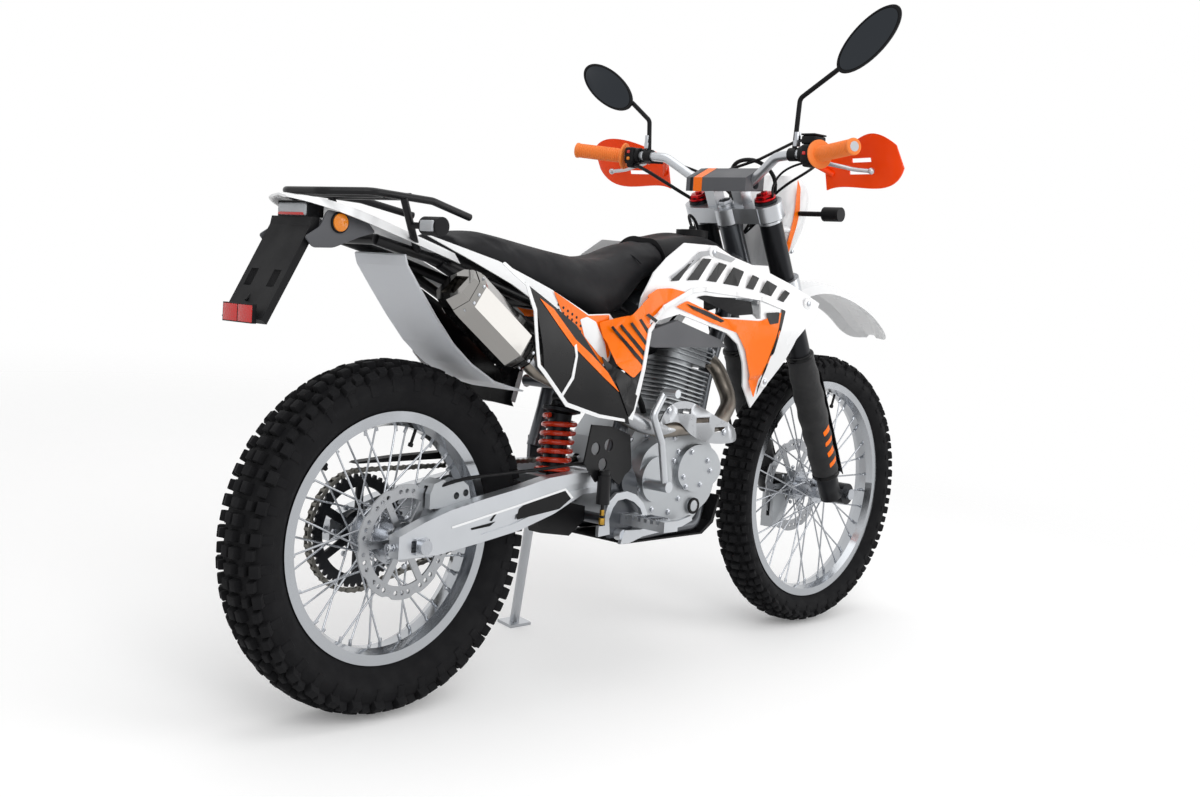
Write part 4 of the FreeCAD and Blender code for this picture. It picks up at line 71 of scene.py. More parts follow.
def linear(code):
    """An sRGB hex colour, or the settings' colour of that name, as linear RGBA."""
    if code[0] != "#":
        return [*getattr(settings(), code), 1.0]
    values = [int(code[i:i + 2], 16) / 255 for i in (1, 3, 5)]
    return [c / 12.92 if c <= 0.04045 else ((c + 0.055) / 1.055) ** 2.4 for c in values] + [1.0]


def add(tree, kind, inputs=None, **options):
    """One shader node with its options, and its inputs set or linked."""
    node = tree.nodes.new(kind)
    for key, value in options.items():
        setattr(node, key, value)
    for key, value in (inputs or {}).items():
        if isinstance(value, bpy.types.NodeSocket):
            tree.links.new(value, node.inputs[key])
        else:
            node.inputs[key].default_value = value
    return node


def raised(tree, shader, height, deep_mm, strength, bump=None, **options):
    """A relief in a surface, over another one if that is given."""
    inputs = {"Height": height, "Distance": deep_mm * MM, "Strength": strength}
    if bump:
        inputs["Normal"] = bump.outputs["Normal"]
    relief = add(tree, "ShaderNodeBump", inputs, **options)
    tree.links.new(relief.outputs["Normal"], shader.inputs["Normal"])
    return relief


def finish(name, code, metallic, gloss_from, gloss_to, patch_mm, tint, grain_mm, grain_mm_deep, sockets=None,
           extra=None):
    """A material whose gloss and colour drift over patches, with a fine grain in its surface."""
    material = bpy.data.materials.new(name)
    material.use_nodes = True
    tree = material.node_tree
    shader = tree.nodes["Principled BSDF"]
    shader.inputs["Metallic"].default_value = metallic
    for key, value in (sockets or {}).items():
        shader.inputs[key].default_value = value
    where = add(tree, "ShaderNodeTexCoord").outputs["Object"]
    patch = add(tree, "ShaderNodeTexNoise", {"Vector": where, "Scale": 1 / (patch_mm * MM), "Detail": 5.0})
    gloss = add(tree, "ShaderNodeMapRange", {"Value": patch.outputs["Fac"], "From Min": PATCH_LOW,
                                             "From Max": PATCH_HIGH, "To Min": gloss_from, "To Max": gloss_to})
    tree.links.new(gloss.outputs["Result"], shader.inputs["Roughness"])
    colour = linear(code)
    dark = [c * (1 - tint) for c in colour[:3]] + [1.0]
    pale = [min(1.0, c * (1 + tint)) for c in colour[:3]] + [1.0]
    drift = add(tree, "ShaderNodeMix", {"Factor": patch.outputs["Fac"], "A": dark, "B": pale}, data_type="RGBA")
    tree.links.new(drift.outputs["Result"], shader.inputs["Base Color"])
    grain = add(tree, "ShaderNodeTexNoise", {"Vector": where, "Scale": 1 / (grain_mm * MM), "Detail": 3.0})
    bump = raised(tree, shader, grain.outputs["Fac"], grain_mm_deep, 0.6)
    if extra:
        extra(tree, shader, where, bump)
    return material


# What some surfaces show besides their grain

def rolling_waves(tree, shader, where, bump):
    wave = add(tree, "ShaderNodeTexNoise", {"Vector": where, "Scale": 1 / (55 * MM), "Detail": 1.0})
    raised(tree, shader, wave.outputs["Fac"], 1.2, 0.5, bump)


def heat_tints(tree, shader, where, bump):
    heat = add(tree, "ShaderNodeTexNoise", {"Vector": where, "Scale": 1 / (90 * MM), "Detail": 2.0})
    tints = add(tree, "ShaderNodeValToRGB", {"Fac": heat.outputs["Fac"]})
    for stop, (share, code) in zip((0, 1), ((0.35, "#9A938A"), (0.7, "#6E675F"))):
        tints.color_ramp.elements[stop].position = share
        tints.color_ramp.elements[stop].color = linear(code)
    tree.links.new(tints.outputs["Color"], shader.inputs["Base Color"])


def pebbles(tree, shader, where, bump):
    pebble = add(tree, "ShaderNodeTexVoronoi", {"Vector": where, "Scale": 1 / (1.6 * MM)}, feature="SMOOTH_F1")
    raised(tree, shader, pebble.outputs["Distance"], 0.2, 0.5, bump, invert=True)


def woven_threads(tree, shader, where, bump):
    heights = [add(tree, "ShaderNodeTexWave", {"Vector": where, "Scale": 1 / (2.2 * MM) / 20}, wave_type="BANDS",
                   bands_direction=direction).outputs["Fac"] for direction in ("X", "Z")]
    weave = add(tree, "ShaderNodeMath", {0: heights[0], 1: heights[1]}, operation="MAXIMUM")
    raised(tree, shader, weave.outputs["Value"], 0.3, 0.6, bump)


def prisms(tree, shader, where, bump):
    prism = add(tree, "ShaderNodeTexVoronoi", {"Vector": where, "Scale": 1 / (4 * MM)}, feature="F1",
                distance="CHEBYCHEV")
    raised(tree, shader, prism.outputs["Distance"], 0.8, 0.6, bump)


# Each kind of surface: its slot, material name, colour, metalness, roughness from and to, patch size in mm, share
# of colour drift, grain and its depth in mm, other sockets and what is drawn besides
KINDS = {
    # vulcanised carbon black rubber, nearly matt, with a grey bloom
    "tread_rubber": ("tyre", "vulcanised_rubber", "#121214", 0.0, 0.72, 0.9, 30, 0.25, 1.6, 0.25, {SPECULAR: 0.18}),
    # rolled and polished aluminium: bright, with soft drawing lines
    "rim_aluminium": (None, "polished_aluminium", "#AEB1B5", 1.0, 0.12, 0.2, 60, 0.03, 3.0, 0.006),
    # sand cast and bead blasted crankcase metal: even, silky and faintly pitted
    "cast_aluminium": (None, "blasted_cast_aluminium", "#A9ACAF", 1.0, 0.4, 0.54, 60, 0.05, 1.2, 0.09),
    # silver lacquered aluminium swingarm, clamps and bars
    "arm_aluminium": ("silver", "silver_lacquered_aluminium", "#BFC2C6", 0.85, 0.28, 0.38, 50, 0.03, 0.9, 0.02,
                      {COAT: 0.2, COAT_ROUGH: 0.2}),
    # zinc plated steel of bolts, spokes and nipples
    "fastener_zinc": ("steel", "zinc_plated_steel", "#B2B5BA", 1.0, 0.22, 0.3, 40, 0.04, 3.0, 0.006),
    # ground stainless steel of the brake discs, with the marks of the pads
    "disc_steel": ("steel", "ground_stainless_steel", "#A2A4A7", 1.0, 0.26, 0.4, 14, 0.06, 0.7, 0.03),
    # polished stainless sheet with slow waves from rolling
    "silencer_steel": ("polished", "polished_stainless_sheet", "#9A9895", 1.0, 0.06, 0.12, 60, 0.04, 1.0, 0.01, {},
                       rolling_waves),
    # exhaust pipe steel gone straw and blue with heat
    "header_steel": (None, "heat_tinted_steel", "#8F8A84", 1.0, 0.3, 0.45, 40, 0.1, 1.0, 0.03, {}, heat_tints),
    # black powder coat on tube and plate, with its fine orange peel
    "powder_coat": ("black_metal", "black_powder_coat", "#121214", 0.0, 0.3, 0.42, 60, 0.1, 2.2, 0.05,
                    {SPECULAR: 0.22}),
    # gunmetal metallic enamel of the main frame
    "frame_enamel": (None, "gunmetal_enamel", "#4A4D52", 0.7, 0.28, 0.38, 60, 0.05, 1.6, 0.03,
                     {COAT: 0.35, COAT_ROUGH: 0.15}),
    # black anodised sprocket and fork tubes
    "anodised_black": ("black_metal", "black_anodised_aluminium", "#1E1F22", 0.75, 0.3, 0.4, 30, 0.08, 0.9, 0.02),
    # red anodised fork caps
    "anodised_red": ("red_orange", "red_anodised_aluminium", "#B5151B", 0.9, 0.25, 0.35, 20, 0.06, 0.8, 0.02),
    # injection moulded glossy white ABS
    "white_abs": ("white_panel", "white_moulded_abs", "white", 0.0, 0.2, 0.3, 120, 0.015, 3.0, 0.02,
                  {COAT: 0.35, COAT_ROUGH: 0.12}),
    # orange printed vinyl film under a clear laminate
    "orange_film": ("red_orange", "orange_printed_vinyl", "orange", 0.0, 0.22, 0.32, 90, 0.03, 2.0, 0.01,
                    {SPECULAR: 0.25}),
    # black printed vinyl film under a clear laminate
    "black_film": ("black_plastic", "black_printed_vinyl", "#08080A", 0.0, 0.18, 0.3, 90, 0.05, 2.0, 0.01,
                   {SPECULAR: 0.2}),
    # silver grey printed vinyl film along the edge of the tank
    "grey_film": ("grey_plastic", "grey_printed_vinyl", "#9A9C9F", 0.0, 0.25, 0.35, 90, 0.04, 2.0, 0.01,
                  {COAT: 0.3, COAT_ROUGH: 0.15}),
    # unpainted black polypropylene with a fine spark eroded grain
    "black_plastic": ("black_plastic", "grained_black_polypropylene", "#111113", 0.0, 0.45, 0.6, 70, 0.08, 0.9, 0.08,
                      {SPECULAR: 0.16}),
    # dark grey polypropylene of the lower tank covers and the bar pad
    "grey_plastic": ("grey_plastic", "grained_grey_polypropylene", "#4B4C50", 0.0, 0.42, 0.55, 70, 0.06, 0.9, 0.07),
    # natural polypropylene sheet, milky and half clear
    "flap_plastic": (None, "milky_polypropylene_sheet", "#E2E5EA", 0.0, 0.35, 0.45, 90, 0.03, 2.0, 0.02,
                     {"Transmission Weight": 0.25, "IOR": 1.49}),
    # red orange moulded nylon of the hand guards
    "guard_nylon": (None, "red_orange_moulded_nylon", "guards", 0.0, 0.3, 0.42, 70, 0.03, 1.6, 0.03,
                    {SPECULAR: 0.25}),
    # soft orange thermoplastic rubber
    "grip_rubber": ("grip_rubber", "orange_soft_rubber", "grips", 0.0, 0.5, 0.65, 25, 0.05, 1.0, 0.06),
    # smooth black rubber of hoses and wiring sleeves
    "hose_rubber": ("black_plastic", "black_hose_rubber", "#0E0E10", 0.0, 0.4, 0.55, 30, 0.1, 1.2, 0.03,
                    {SPECULAR: 0.16}),
    # red orange enamel baked on spring steel
    "spring_enamel": ("spring_paint", "red_orange_spring_enamel", "spring", 0.0, 0.2, 0.3, 40, 0.04, 1.5, 0.02,
                      {COAT: 0.4, COAT_ROUGH: 0.1}),
    # blued chain steel under a film of oil
    "chain_steel": ("steel", "oiled_chain_steel", "#6F6D68", 1.0, 0.28, 0.5, 9, 0.18, 1.0, 0.04),
    # turned brass of the brake rod clevis
    "brass": ("steel", "turned_brass", "#B08A3C", 1.0, 0.25, 0.38, 15, 0.08, 0.8, 0.02),
    # calendered seat vinyl with a pebble grain; the grain is drawn at 1.6 mm so that it shows
    "seat_vinyl": ("seat_cover", "grained_seat_vinyl", "#121215", 0.0, 0.5, 0.66, 60, 0.1, 1.0, 0.03,
                   {SPECULAR: 0.2}, pebbles),
    # woven nylon fork sock: threads 0.6 mm apart are drawn 2.2 mm apart so that the weave shows
    "sock_fabric": ("sock_fabric", "woven_nylon_sock", "#141416", 0.0, 0.7, 0.85, 30, 0.15, 1.2, 0.05,
                    {"Sheen Weight": 0.12, "Sheen Roughness": 0.5}, woven_threads),
    # moulded polycarbonate lamp glass with rows of small prisms inside
    "clear_lens": ("clear_lamp", "clear_polycarbonate", "#DDE1E6", 0.0, 0.08, 0.16, 20, 0.08, 1.0, 0.01,
                   {"Transmission Weight": 0.45, "IOR": 1.58}, prisms),
    "red_lens": ("red_orange", "red_polycarbonate", "#D4140F", 0.0, 0.08, 0.16, 20, 0.08, 1.0, 0.01,
                 {"Transmission Weight": 0.15, "IOR": 1.58}, prisms),
    "amber_lens": ("red_orange", "amber_polycarbonate", "#F28A0A", 0.0, 0.08, 0.16, 20, 0.08, 1.0, 0.01,
                   {"Transmission Weight": 0.15, "IOR": 1.58}, prisms),
    # silvered glass with a dark tint
    "mirror_glass": ("polished", "silvered_mirror_glass", "#34373B", 1.0, 0.02, 0.05, 80, 0.02, 3.0, 0.0),
}


def finish_of(kind):
    """The one material of a kind of surface, made at its first use."""
    if kind not in MADE:
        MADE[kind] = finish(*KINDS[kind][1:])
    return MADE[kind]


# Places: the upright bike, its steering and its wheels, worked out from the joints

def joint_place(name):
    return Vector(JOINTS[name]["pos_m"]), Vector(JOINTS[name]["axis"])


def move(x, y, z):
    return Matrix.Translation(Vector((x, y, z)) * MM)


def turn(degrees, axis):
    return Matrix.Rotation(math.radians(degrees), 4, axis)


def upright():
    """The placement of the upright bike, in which X is forward and the floor is below the rear axle."""
    centre, axle = joint_place("rear_wheel_spin")
    lean = Matrix.Rotation(math.atan2(axle.z, axle.y), 4, "X")
    return Matrix.Translation(centre) @ lean @ move(0, 0, -REAR_RADIUS)


def steering():
    """The placement with its Z along the steering axis and its origin on it."""
    centre, axis = joint_place("steering")
    flat = UPRIGHT.to_3x3().inverted() @ axis
    lean = UPRIGHT.to_3x3().to_4x4()
    return Matrix.Translation(centre) @ lean @ Matrix.Rotation(math.atan2(flat.x, flat.z), 4, "Y")


REAR_RADIUS = 340.0
UPRIGHT = upright()
STEER = steering()
REAR = UPRIGHT @ move(0, 0, REAR_RADIUS)
FRONT = Matrix.Translation(joint_place("front_wheel_spin")[0]) @ UPRIGHT.to_3x3().to_4x4()


# Shapes, in millimetres, each in a mesh of its own until it is placed

def slab(size, round_by=0.0, segments=2):
    """A block about the origin with rounded edges."""
    part = bmesh.new()
    bmesh.ops.create_cube(part, size=1.0)
    bmesh.ops.scale(part, vec=Vector(size) * MM, verts=part.verts)
    return softened(part, part.edges, round_by, segments)


def softened(part, edges, round_by, segments=2):
    if round_by:
        bmesh.ops.bevel(part, geom=list(edges), offset=round_by * MM, offset_type="OFFSET", segments=segments,
                        profile=0.5, affect="EDGES", clamp_overlap=True, material=-1)
    return part


def drum(radius, long, round_by=0.0, sides=24, top=None):
    """A round bar along Z about the origin, its rims rounded."""
    part = bmesh.new()
    bmesh.ops.create_cone(part, cap_ends=True, segments=sides, radius1=radius * MM,
                          radius2=(radius if top is None else top) * MM, depth=long * MM)
    rims = [e for e in part.edges if abs(e.verts[0].co.z - e.verts[1].co.z) < MM * MERGE_MM]
    return softened(part, rims, round_by, 2)


def lathe(profile, steps=48, closed=False):
    """A (radius, z) profile turned about Z."""
    part = bmesh.new()
    verts = [part.verts.new(Vector((r, 0, z)) * MM) for r, z in profile]
    pairs = list(zip(verts, verts[1:])) + ([(verts[-1], verts[0])] if closed else [])
    edges = [part.edges.new(pair) for pair in pairs]
    bmesh.ops.spin(part, geom=verts + edges, cent=(0, 0, 0), axis=(0, 0, 1), dvec=(0, 0, 0),
                   angle=math.tau, steps=steps, use_merge=True, use_duplicate=False)
    bmesh.ops.remove_doubles(part, verts=part.verts, dist=MM * MERGE_MM)
    bmesh.ops.recalc_face_normals(part, faces=part.faces)
    return part


def sheet_of(outline, corner=0.0):
    """A flat face in the XZ plane with its corners rounded."""
    part = bmesh.new()
    part.faces.new([part.verts.new(Vector((x, 0, z)) * MM) for x, z in outline])
    if corner:
        bmesh.ops.bevel(part, geom=list(part.verts), offset=corner * MM, offset_type="OFFSET", segments=3,
                        profile=0.5, affect="VERTICES", clamp_overlap=True, material=-1)
    return part


def thicken(part, step):
    """Extrudes a sheet across the bike."""
    grown = bmesh.ops.extrude_face_region(part, geom=list(part.faces))["geom"]
    bmesh.ops.translate(part, vec=Vector((0, step, 0)) * MM,
                        verts=[g for g in grown if isinstance(g, bmesh.types.BMVert)])


def cut(part, spot, normal, drop=False):
    """Cuts a mesh along a plane, and drops what lies beyond it if asked."""
    bmesh.ops.bisect_plane(part, geom=[*part.verts, *part.edges, *part.faces], plane_co=Vector(spot) * MM,
                           plane_no=normal, clear_outer=drop)


def plate(outline, thick, corner=0.0, round_by=0.0):
    """A flat plate in the XZ plane, thick about it."""
    part = sheet_of(outline, corner)
    bmesh.ops.translate(part, vec=Vector((0, -thick / 2, 0)) * MM, verts=part.verts)
    thicken(part, thick)
    bmesh.ops.recalc_face_normals(part, faces=part.faces)
    rims = [e for e in part.edges if abs(e.verts[0].co.y - e.verts[1].co.y) < MM * MERGE_MM]
    return softened(part, rims, round_by, 2)


def placed(bm, part, *places):
    """Copies of a part added to a mesh, one at each place."""
    mesh = bpy.data.meshes.new("part")
    part.to_mesh(mesh)
    part.free()
    for place in places:
        copy = mesh.copy()
        copy.transform(place)
        bm.from_mesh(copy)
        bpy.data.meshes.remove(copy)
    bpy.data.meshes.remove(mesh)


def linked(name, data):
    """A new object of some data in the scene."""
    obj = bpy.data.objects.new(name, data)
    bpy.context.scene.collection.objects.link(obj)
    return obj


def settled(obj, kind, body="frame", replaces=()):
    """Gives a finished mesh object its material and body, and hides the CAD parts it replaces."""
    obj.data.materials.clear()
    obj.data.materials.append(finish_of(kind))
    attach(obj, body)
    if replaces:
        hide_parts(*replaces)
    return obj


def piece(name, bm, kind, place=UPRIGHT, body="frame", replaces=(), smooth=EDGE_DEGREES,
          recalculate=True):
    """Turns a mesh in the making into a piece of the bike."""
    if recalculate:
        bmesh.ops.recalc_face_normals(bm, faces=bm.faces)
    mesh = bpy.data.meshes.new(name)
    bm.to_mesh(mesh)
    bm.free()
    mesh.transform(place)
    mesh.shade_smooth()
    mesh.set_sharp_from_angle(angle=math.radians(smooth))
    return settled(linked(name, mesh), kind, body, replaces)


def build(name, kind, *groups, **options):
    """A piece made of parts, each given with the places at which it stands."""
    bm = bmesh.new()
    for part, *places in groups:
        placed(bm, part, *places)
    return piece(name, bm, kind, **options)


def cable(name, points, radius, kind="hose_rubber", body="frame"):
    """A round cable along a smooth curve through its route."""
    curve = bpy.data.curves.new(name, "CURVE")
    curve.dimensions = "3D"
    curve.bevel_depth = radius * MM
    curve.bevel_resolution = 3
    curve.resolution_u = 8
    curve.use_fill_caps = True
    line = curve.splines.new("NURBS")
    line.points.add(len(points) - 1)
    for spot, p in zip(line.points, points):
        spot.co = (*(Vector(p) * MM), 1.0)
    line.order_u = 3
    line.use_endpoint_u = True
    guide = linked(name + "_guide", curve)
    mesh = bpy.data.meshes.new_from_object(guide.evaluated_get(bpy.context.evaluated_depsgraph_get()))
    mesh.name = name
    bpy.data.objects.remove(guide)
    bm = bmesh.new()
    bm.from_mesh(mesh)
    bpy.data.meshes.remove(mesh)
    return piece(name, bm, kind, body=body)


def skin(obj):
    """An object's surface in the upright bike's millimetres, for casting rays at it."""
    back = UPRIGHT.inverted() @ obj.matrix_world
    return BVHTree.FromPolygons([back @ v.co / MM for v in obj.data.vertices],
                                [tuple(p.vertices) for p in obj.data.polygons])


def target(node):
    """The same of a CAD node, made at its first use."""
    if node not in SURFACES:
        SURFACES[node] = skin(frame["nodes"][node])
    return SURFACES[node]


def beside(surface, x, z, side):
    """Where a ray from one side meets a surface at a point of the side view."""
    return surface.ray_cast(Vector((x, side * RAY_FROM, z)), Vector((0, -side, 0)), RAY_LONG)[0]


def reach(surfaces, x, z, side):
    """How far out the surfaces stand beside a point of the side view, or None beside them."""
    hits = [beside(surface, x, z, side) for surface in surfaces]
    return max((side * spot.y for spot in hits if spot), default=None)


def outermost(surfaces, x, z, side, default):
    """The same across the bike, with the nearest spot of the surfaces where none stands beside the point."""
    out = reach(surfaces, x, z, side)
    if out is None:
        out = max(side * surface.find_nearest(Vector((x, side * default, z)))[0].y for surface in surfaces)
    return side * out


def film(name, surfaces, outline, side, kind, corner, lift, thick, body="frame", cell=14.0, taut=40):
    """A sheet cut to an outline and drawn taut over one side of the panels."""
    part = sheet_of(outline, corner)
    bmesh.ops.triangulate(part, faces=list(part.faces))
    for spots, normal in zip(zip(*outline), ((1, 0, 0), (0, 0, 1))):
        low, high = min(spots), max(spots)
        for step in range(1, int((high - low) / cell) + 1):
            cut(part, Vector(normal) * (low + step * cell), normal)
    rest = {v: reach(surfaces, v.co.x / MM, v.co.z / MM, side) for v in part.verts}
    out = {v: side * outermost(surfaces, v.co.x / MM, v.co.z / MM, side, SIDE_Y) for v in part.verts}
    for _ in range(taut):
        near = {v: [out[e.other_vert(v)] for e in v.link_edges] for v in part.verts}
        out = {v: max(sum(near[v]) / len(near[v]), NOWHERE if rest[v] is None else rest[v]) for v in part.verts}
    for v in part.verts:
        v.co.y = side * (out[v] + lift) * MM
    thicken(part, side * thick)
    return piece(name, part, kind, body=body)


def copied(node, place):
    """A merged copy of a CAD node's mesh, in a placement of its own."""
    source = frame["nodes"][node]
    bm = bmesh.new()
    bm.from_mesh(source.data)
    bmesh.ops.transform(bm, matrix=place.inverted() @ source.matrix_world, verts=bm.verts)
    bmesh.ops.remove_doubles(bm, verts=bm.verts, dist=0.02 * MM)
    return bm


def wrap(name, node, place, low, high, kind, grow, body="frame"):
    """A band of film round a node, between two planes across a placement's X."""
    bm = copied(node, place)
    cut(bm, (low, 0, 0), (-1, 0, 0), True)
    cut(bm, (high, 0, 0), (1, 0, 0), True)
    bm.normal_update()
    for v in bm.verts:
        v.co += v.normal * grow * MM
    return piece(name, bm, kind, place, body, recalculate=False)


def dress(kind, *nodes):
    """Gives CAD nodes their finished material."""
    for node in nodes:
        obj = frame["nodes"][node]
        if not obj.material_slots:
            obj.data.materials.append(None)
        for slot in obj.material_slots:
            slot.material = finish_of(kind)


# What rides on the frame, piece by piece

WHEEL = Matrix.Rotation(math.radians(-90), 4, "X")
LEFT_AND_RIGHT = (1, -1)
SIDES = ((-1, "right"), (1, "left"))


def dress_nodes():
    dress("rim_aluminium", "rear_rim", "front_rim")
    dress("fastener_zinc", "rear_hub", "front_hub", "rear_axle", "front_axle")
    dress("disc_steel", "rear_disc", "front_disc")
    dress("cast_aluminium", "engine_cases", "engine_cylinder", "front_caliper", "rear_caliper")
    dress("arm_aluminium", "swingarm", "handlebar", "triple_clamps", "side_stand", "foot_controls")
    dress("silencer_steel", "silencer")
    dress("header_steel", "exhaust_header")
    wrap("shield_polish", "exhaust_header", UPRIGHT @ turn(-90, "Z"), 159.5, 175, "disc_steel", 0.25)
    dress("frame_enamel", "frame_cradle")
    dress("powder_coat", "subframe", "luggage_rack", "shock_linkage", "brake_master")
    dress("anodised_black", "rear_sprocket", "fork_tubes")
    dress("white_abs", "tank_shrouds", "tail_panels", "rear_fender", "front_fender", "headlamp_mask")
    dress("black_film", "side_panels")
    dress("black_plastic", "intake_airbox", "fuel_tank", "chain_guard", "skid_plate", "plate_bracket", "mirrors",
          "front_lamps", "rear_lamps")
    dress("grey_plastic", "tank_covers", "bar_pad")
    dress("guard_nylon", "hand_guards")
    dress("flap_plastic", "mud_flap")
    dress("hose_rubber", "brake_hose")


KNOB_TOP = (0.86, 0.88, 1.0)


def knob(long, wide, high, round_by=1.6):
    """A tread block standing on the XY plane, narrower at its top."""
    part = slab((long, wide, high))
    bmesh.ops.translate(part, vec=Vector((0, 0, high / 2)) * MM, verts=part.verts)
    top = [v for v in part.verts if v.co.z > high * MM / 2]
    bmesh.ops.scale(part, vec=KNOB_TOP, verts=top)
    return softened(part, part.edges, round_by, 2)


BLOCK_ROOT, PAIR_Y = 3, 11.2
# Each tyre, in mm: its radius, the crown and the side of its carcass, half its width, its bead and lip and half the
# width inside; its rows of blocks and a block's length follow
REAR_TYRE = (340, 326, 292, 55, 232.4, 244.4, 29.6)
FRONT_TYRE = (347, 334.5, 312, 43, 270.4, 281.4, 22.6)


def tyre(name, body, place, sizes):
    """A knobbly tyre: a turned carcass with rows of blocks on its crown and both shoulders."""
    radius, crown, side, half, bead, lip, inside, rows, long = sizes
    root = crown - BLOCK_ROOT
    right = [(bead, inside), (lip, inside), (lip + 5, inside + 6), ((lip + side) / 2, half * 0.93),
             (side - 8, half - 1.0), (side - 6, half - 0.2), (side - 2, half), (side + 3, half - 0.2),
             (side + 5, half - 1.2), ((side + crown) / 2, half * 0.93), (crown - 5, half * 0.74),
             (crown - 1, half * 0.5), (crown + 1, half * 0.22)]
    bm = lathe(right + [(r, -y) for r, y in right[::-1]], 144, closed=True)
    bmesh.ops.transform(bm, matrix=WHEEL, verts=bm.verts)
    tall = radius - crown + BLOCK_ROOT
    pairs = []
    wide = []
    middle = []
    shoulder = []
    low_shoulder = []
    ribs = []
    for row in range(rows):
        turned = turn(360 * row / rows, "Y")
        between = turn(360 * (row + 0.5) / rows, "Y")
        wide.append(between @ move(0, 0, root))
        for y in LEFT_AND_RIGHT:
            pairs.append(turned @ move(0, y * PAIR_Y, root))
            middle.append(between @ move(0, y * half * 0.56, crown - 5.5) @ turn(-20 * y, "X"))
            low_shoulder.append(turned @ move(0, y * half * 0.73, crown - 12) @ turn(-34 * y, "X"))
            shoulder.append(between @ move(0, y * (half - 12), crown - 17) @ turn(-44 * y, "X"))
            ribs.append(between @ move(0, y * (half - 1.5), side + 4) @ turn(-84 * y, "X"))
    placed(bm, knob(long * 0.95, 19, tall), *pairs)
    placed(bm, knob(long * 0.85, 26, tall), *wide)
    placed(bm, knob(long * 0.8, 13, tall - 1), *middle)
    placed(bm, knob(long * 0.9, 15, tall + 1), *low_shoulder)
    placed(bm, knob(long * 1.05, 19, tall + 4), *shoulder)
    placed(bm, knob(long * 0.7, 26, 2.2, 0.6), *ribs)
    return piece(name, bm, "tread_rubber", place=place, body=body, replaces=(name,), smooth=40)


def tyres():
    tyre("rear_tyre", "rear_wheel", REAR, (*REAR_TYRE, settings().rear_rows, 24))
    tyre("front_tyre", "front_wheel", FRONT, (*FRONT_TYRE, settings().front_rows, 20))


def ring_of(count, radius, y, start=0.0):
    """Places round a wheel's axle, their Z pointing along the axle."""
    return [turn(start + 360 * i / count, "Y") @ move(0, y, radius) @ turn(-90, "X") for i in range(count)]


SPOKES = 36
DISC_CIRCLE = (6, 46)
SPROCKET_CIRCLE = (6, 52, 76, 30)
# Each wheel: its name, body and place, the radius inside its rim, half its rim's width and its disc's Y, in mm
WHEELS = (("rear", "rear_wheel", REAR, 214, 34, -70), ("front", "front_wheel", FRONT, 255, 27, 50))


def wheel_trim():
    """Nipples, hub and disc screws, tyre valves and rim locks."""
    for wheel, body, place, inner, rim_half, disc_y in WHEELS:
        bm = bmesh.new()
        for number in range(SPOKES):
            side = 1 if number % 2 else -1
            lead = 1 if (number // 2) % 2 else -1
            spot = turn(-360 * (number + 0.5) / SPOKES, "Y") @ move(inner - 5, side * rim_half * 0.2, 0)
            placed(bm, drum(3.4, 13, 0.8, 10), spot @ turn(lead * 12, "Y") @ turn(90, "Y"))
        piece(wheel + "_nipples", bm, "fastener_zinc", place, body)
        spots = ring_of(*DISC_CIRCLE, disc_y + math.copysign(4, disc_y))
        build(wheel + "_disc_screws", "fastener_zinc", (drum(5.5, 5, 1.0, 6), *spots),
              (drum(3.0, 6.4, 0.6, 12), *spots), place=place, body=body)
        valve, lock = turn(20, "Y"), turn(-45, "Y")
        build(wheel + "_valve", "hose_rubber", (drum(3.2, 34, 0.8, 12), valve @ move(0, 0, inner - 14)),
              (drum(5.2, 8, 1.5, 12), valve @ move(0, 0, inner - 30)),
              (drum(4.2, 26, 0.8, 12), lock @ move(0, 0, inner - 10)),
              (drum(8.5, 6, 1.0, 6), lock @ move(0, 0, inner - 14)), place=place, body=body)
    spots = ring_of(*SPROCKET_CIRCLE)
    build("sprocket_screws", "fastener_zinc", (drum(6, 6, 1.0, 6), *spots), (drum(3.2, 7.2, 0.6, 12), *spots),
          place=REAR, body="rear_wheel")


# The chain's line: both pitch radii, both axles in the side view and its distance from the middle
BIG, SMALL = 118.0, 38.0
REAR_AXLE, COUNTER_SHAFT = (0, 340), (622, 415)
CHAIN_Y = 70
ROLLER, PLATE_THICK = 4.6, 1.7


def chain_spots(pitch_count):
    """The joints of the chain on its way round both sprockets, in the XZ plane."""
    big, small = BIG, SMALL
    first, last = Vector(REAR_AXLE), Vector(COUNTER_SHAFT)
    line = last - first
    tilt = math.atan2(line.y, line.x)
    lean = math.acos((big - small) / line.length)
    straight = math.sqrt(line.length ** 2 - (big - small) ** 2)
    lengths = [straight, small * 2 * lean, straight, big * (math.tau - 2 * lean)]
    spots = []
    for number in range(pitch_count):
        far = sum(lengths) * number / pitch_count
        leg = 0
        while far > lengths[leg]:
            far -= lengths[leg]
            leg += 1
        if leg in (0, 2):
            turned = tilt + lean if leg == 0 else tilt - lean
            out = Vector((math.cos(turned), math.sin(turned)))
            start, end = first + out * big, last + out * small
            spots.append(start.lerp(end, (far if leg == 0 else straight - far) / straight))
        else:
            centre, radius, begin = (last, small, tilt + lean) if leg == 1 else (first, big, tilt - lean)
            turned = begin - far / radius
            spots.append(centre + Vector((math.cos(turned), math.sin(turned))) * radius)
    return spots


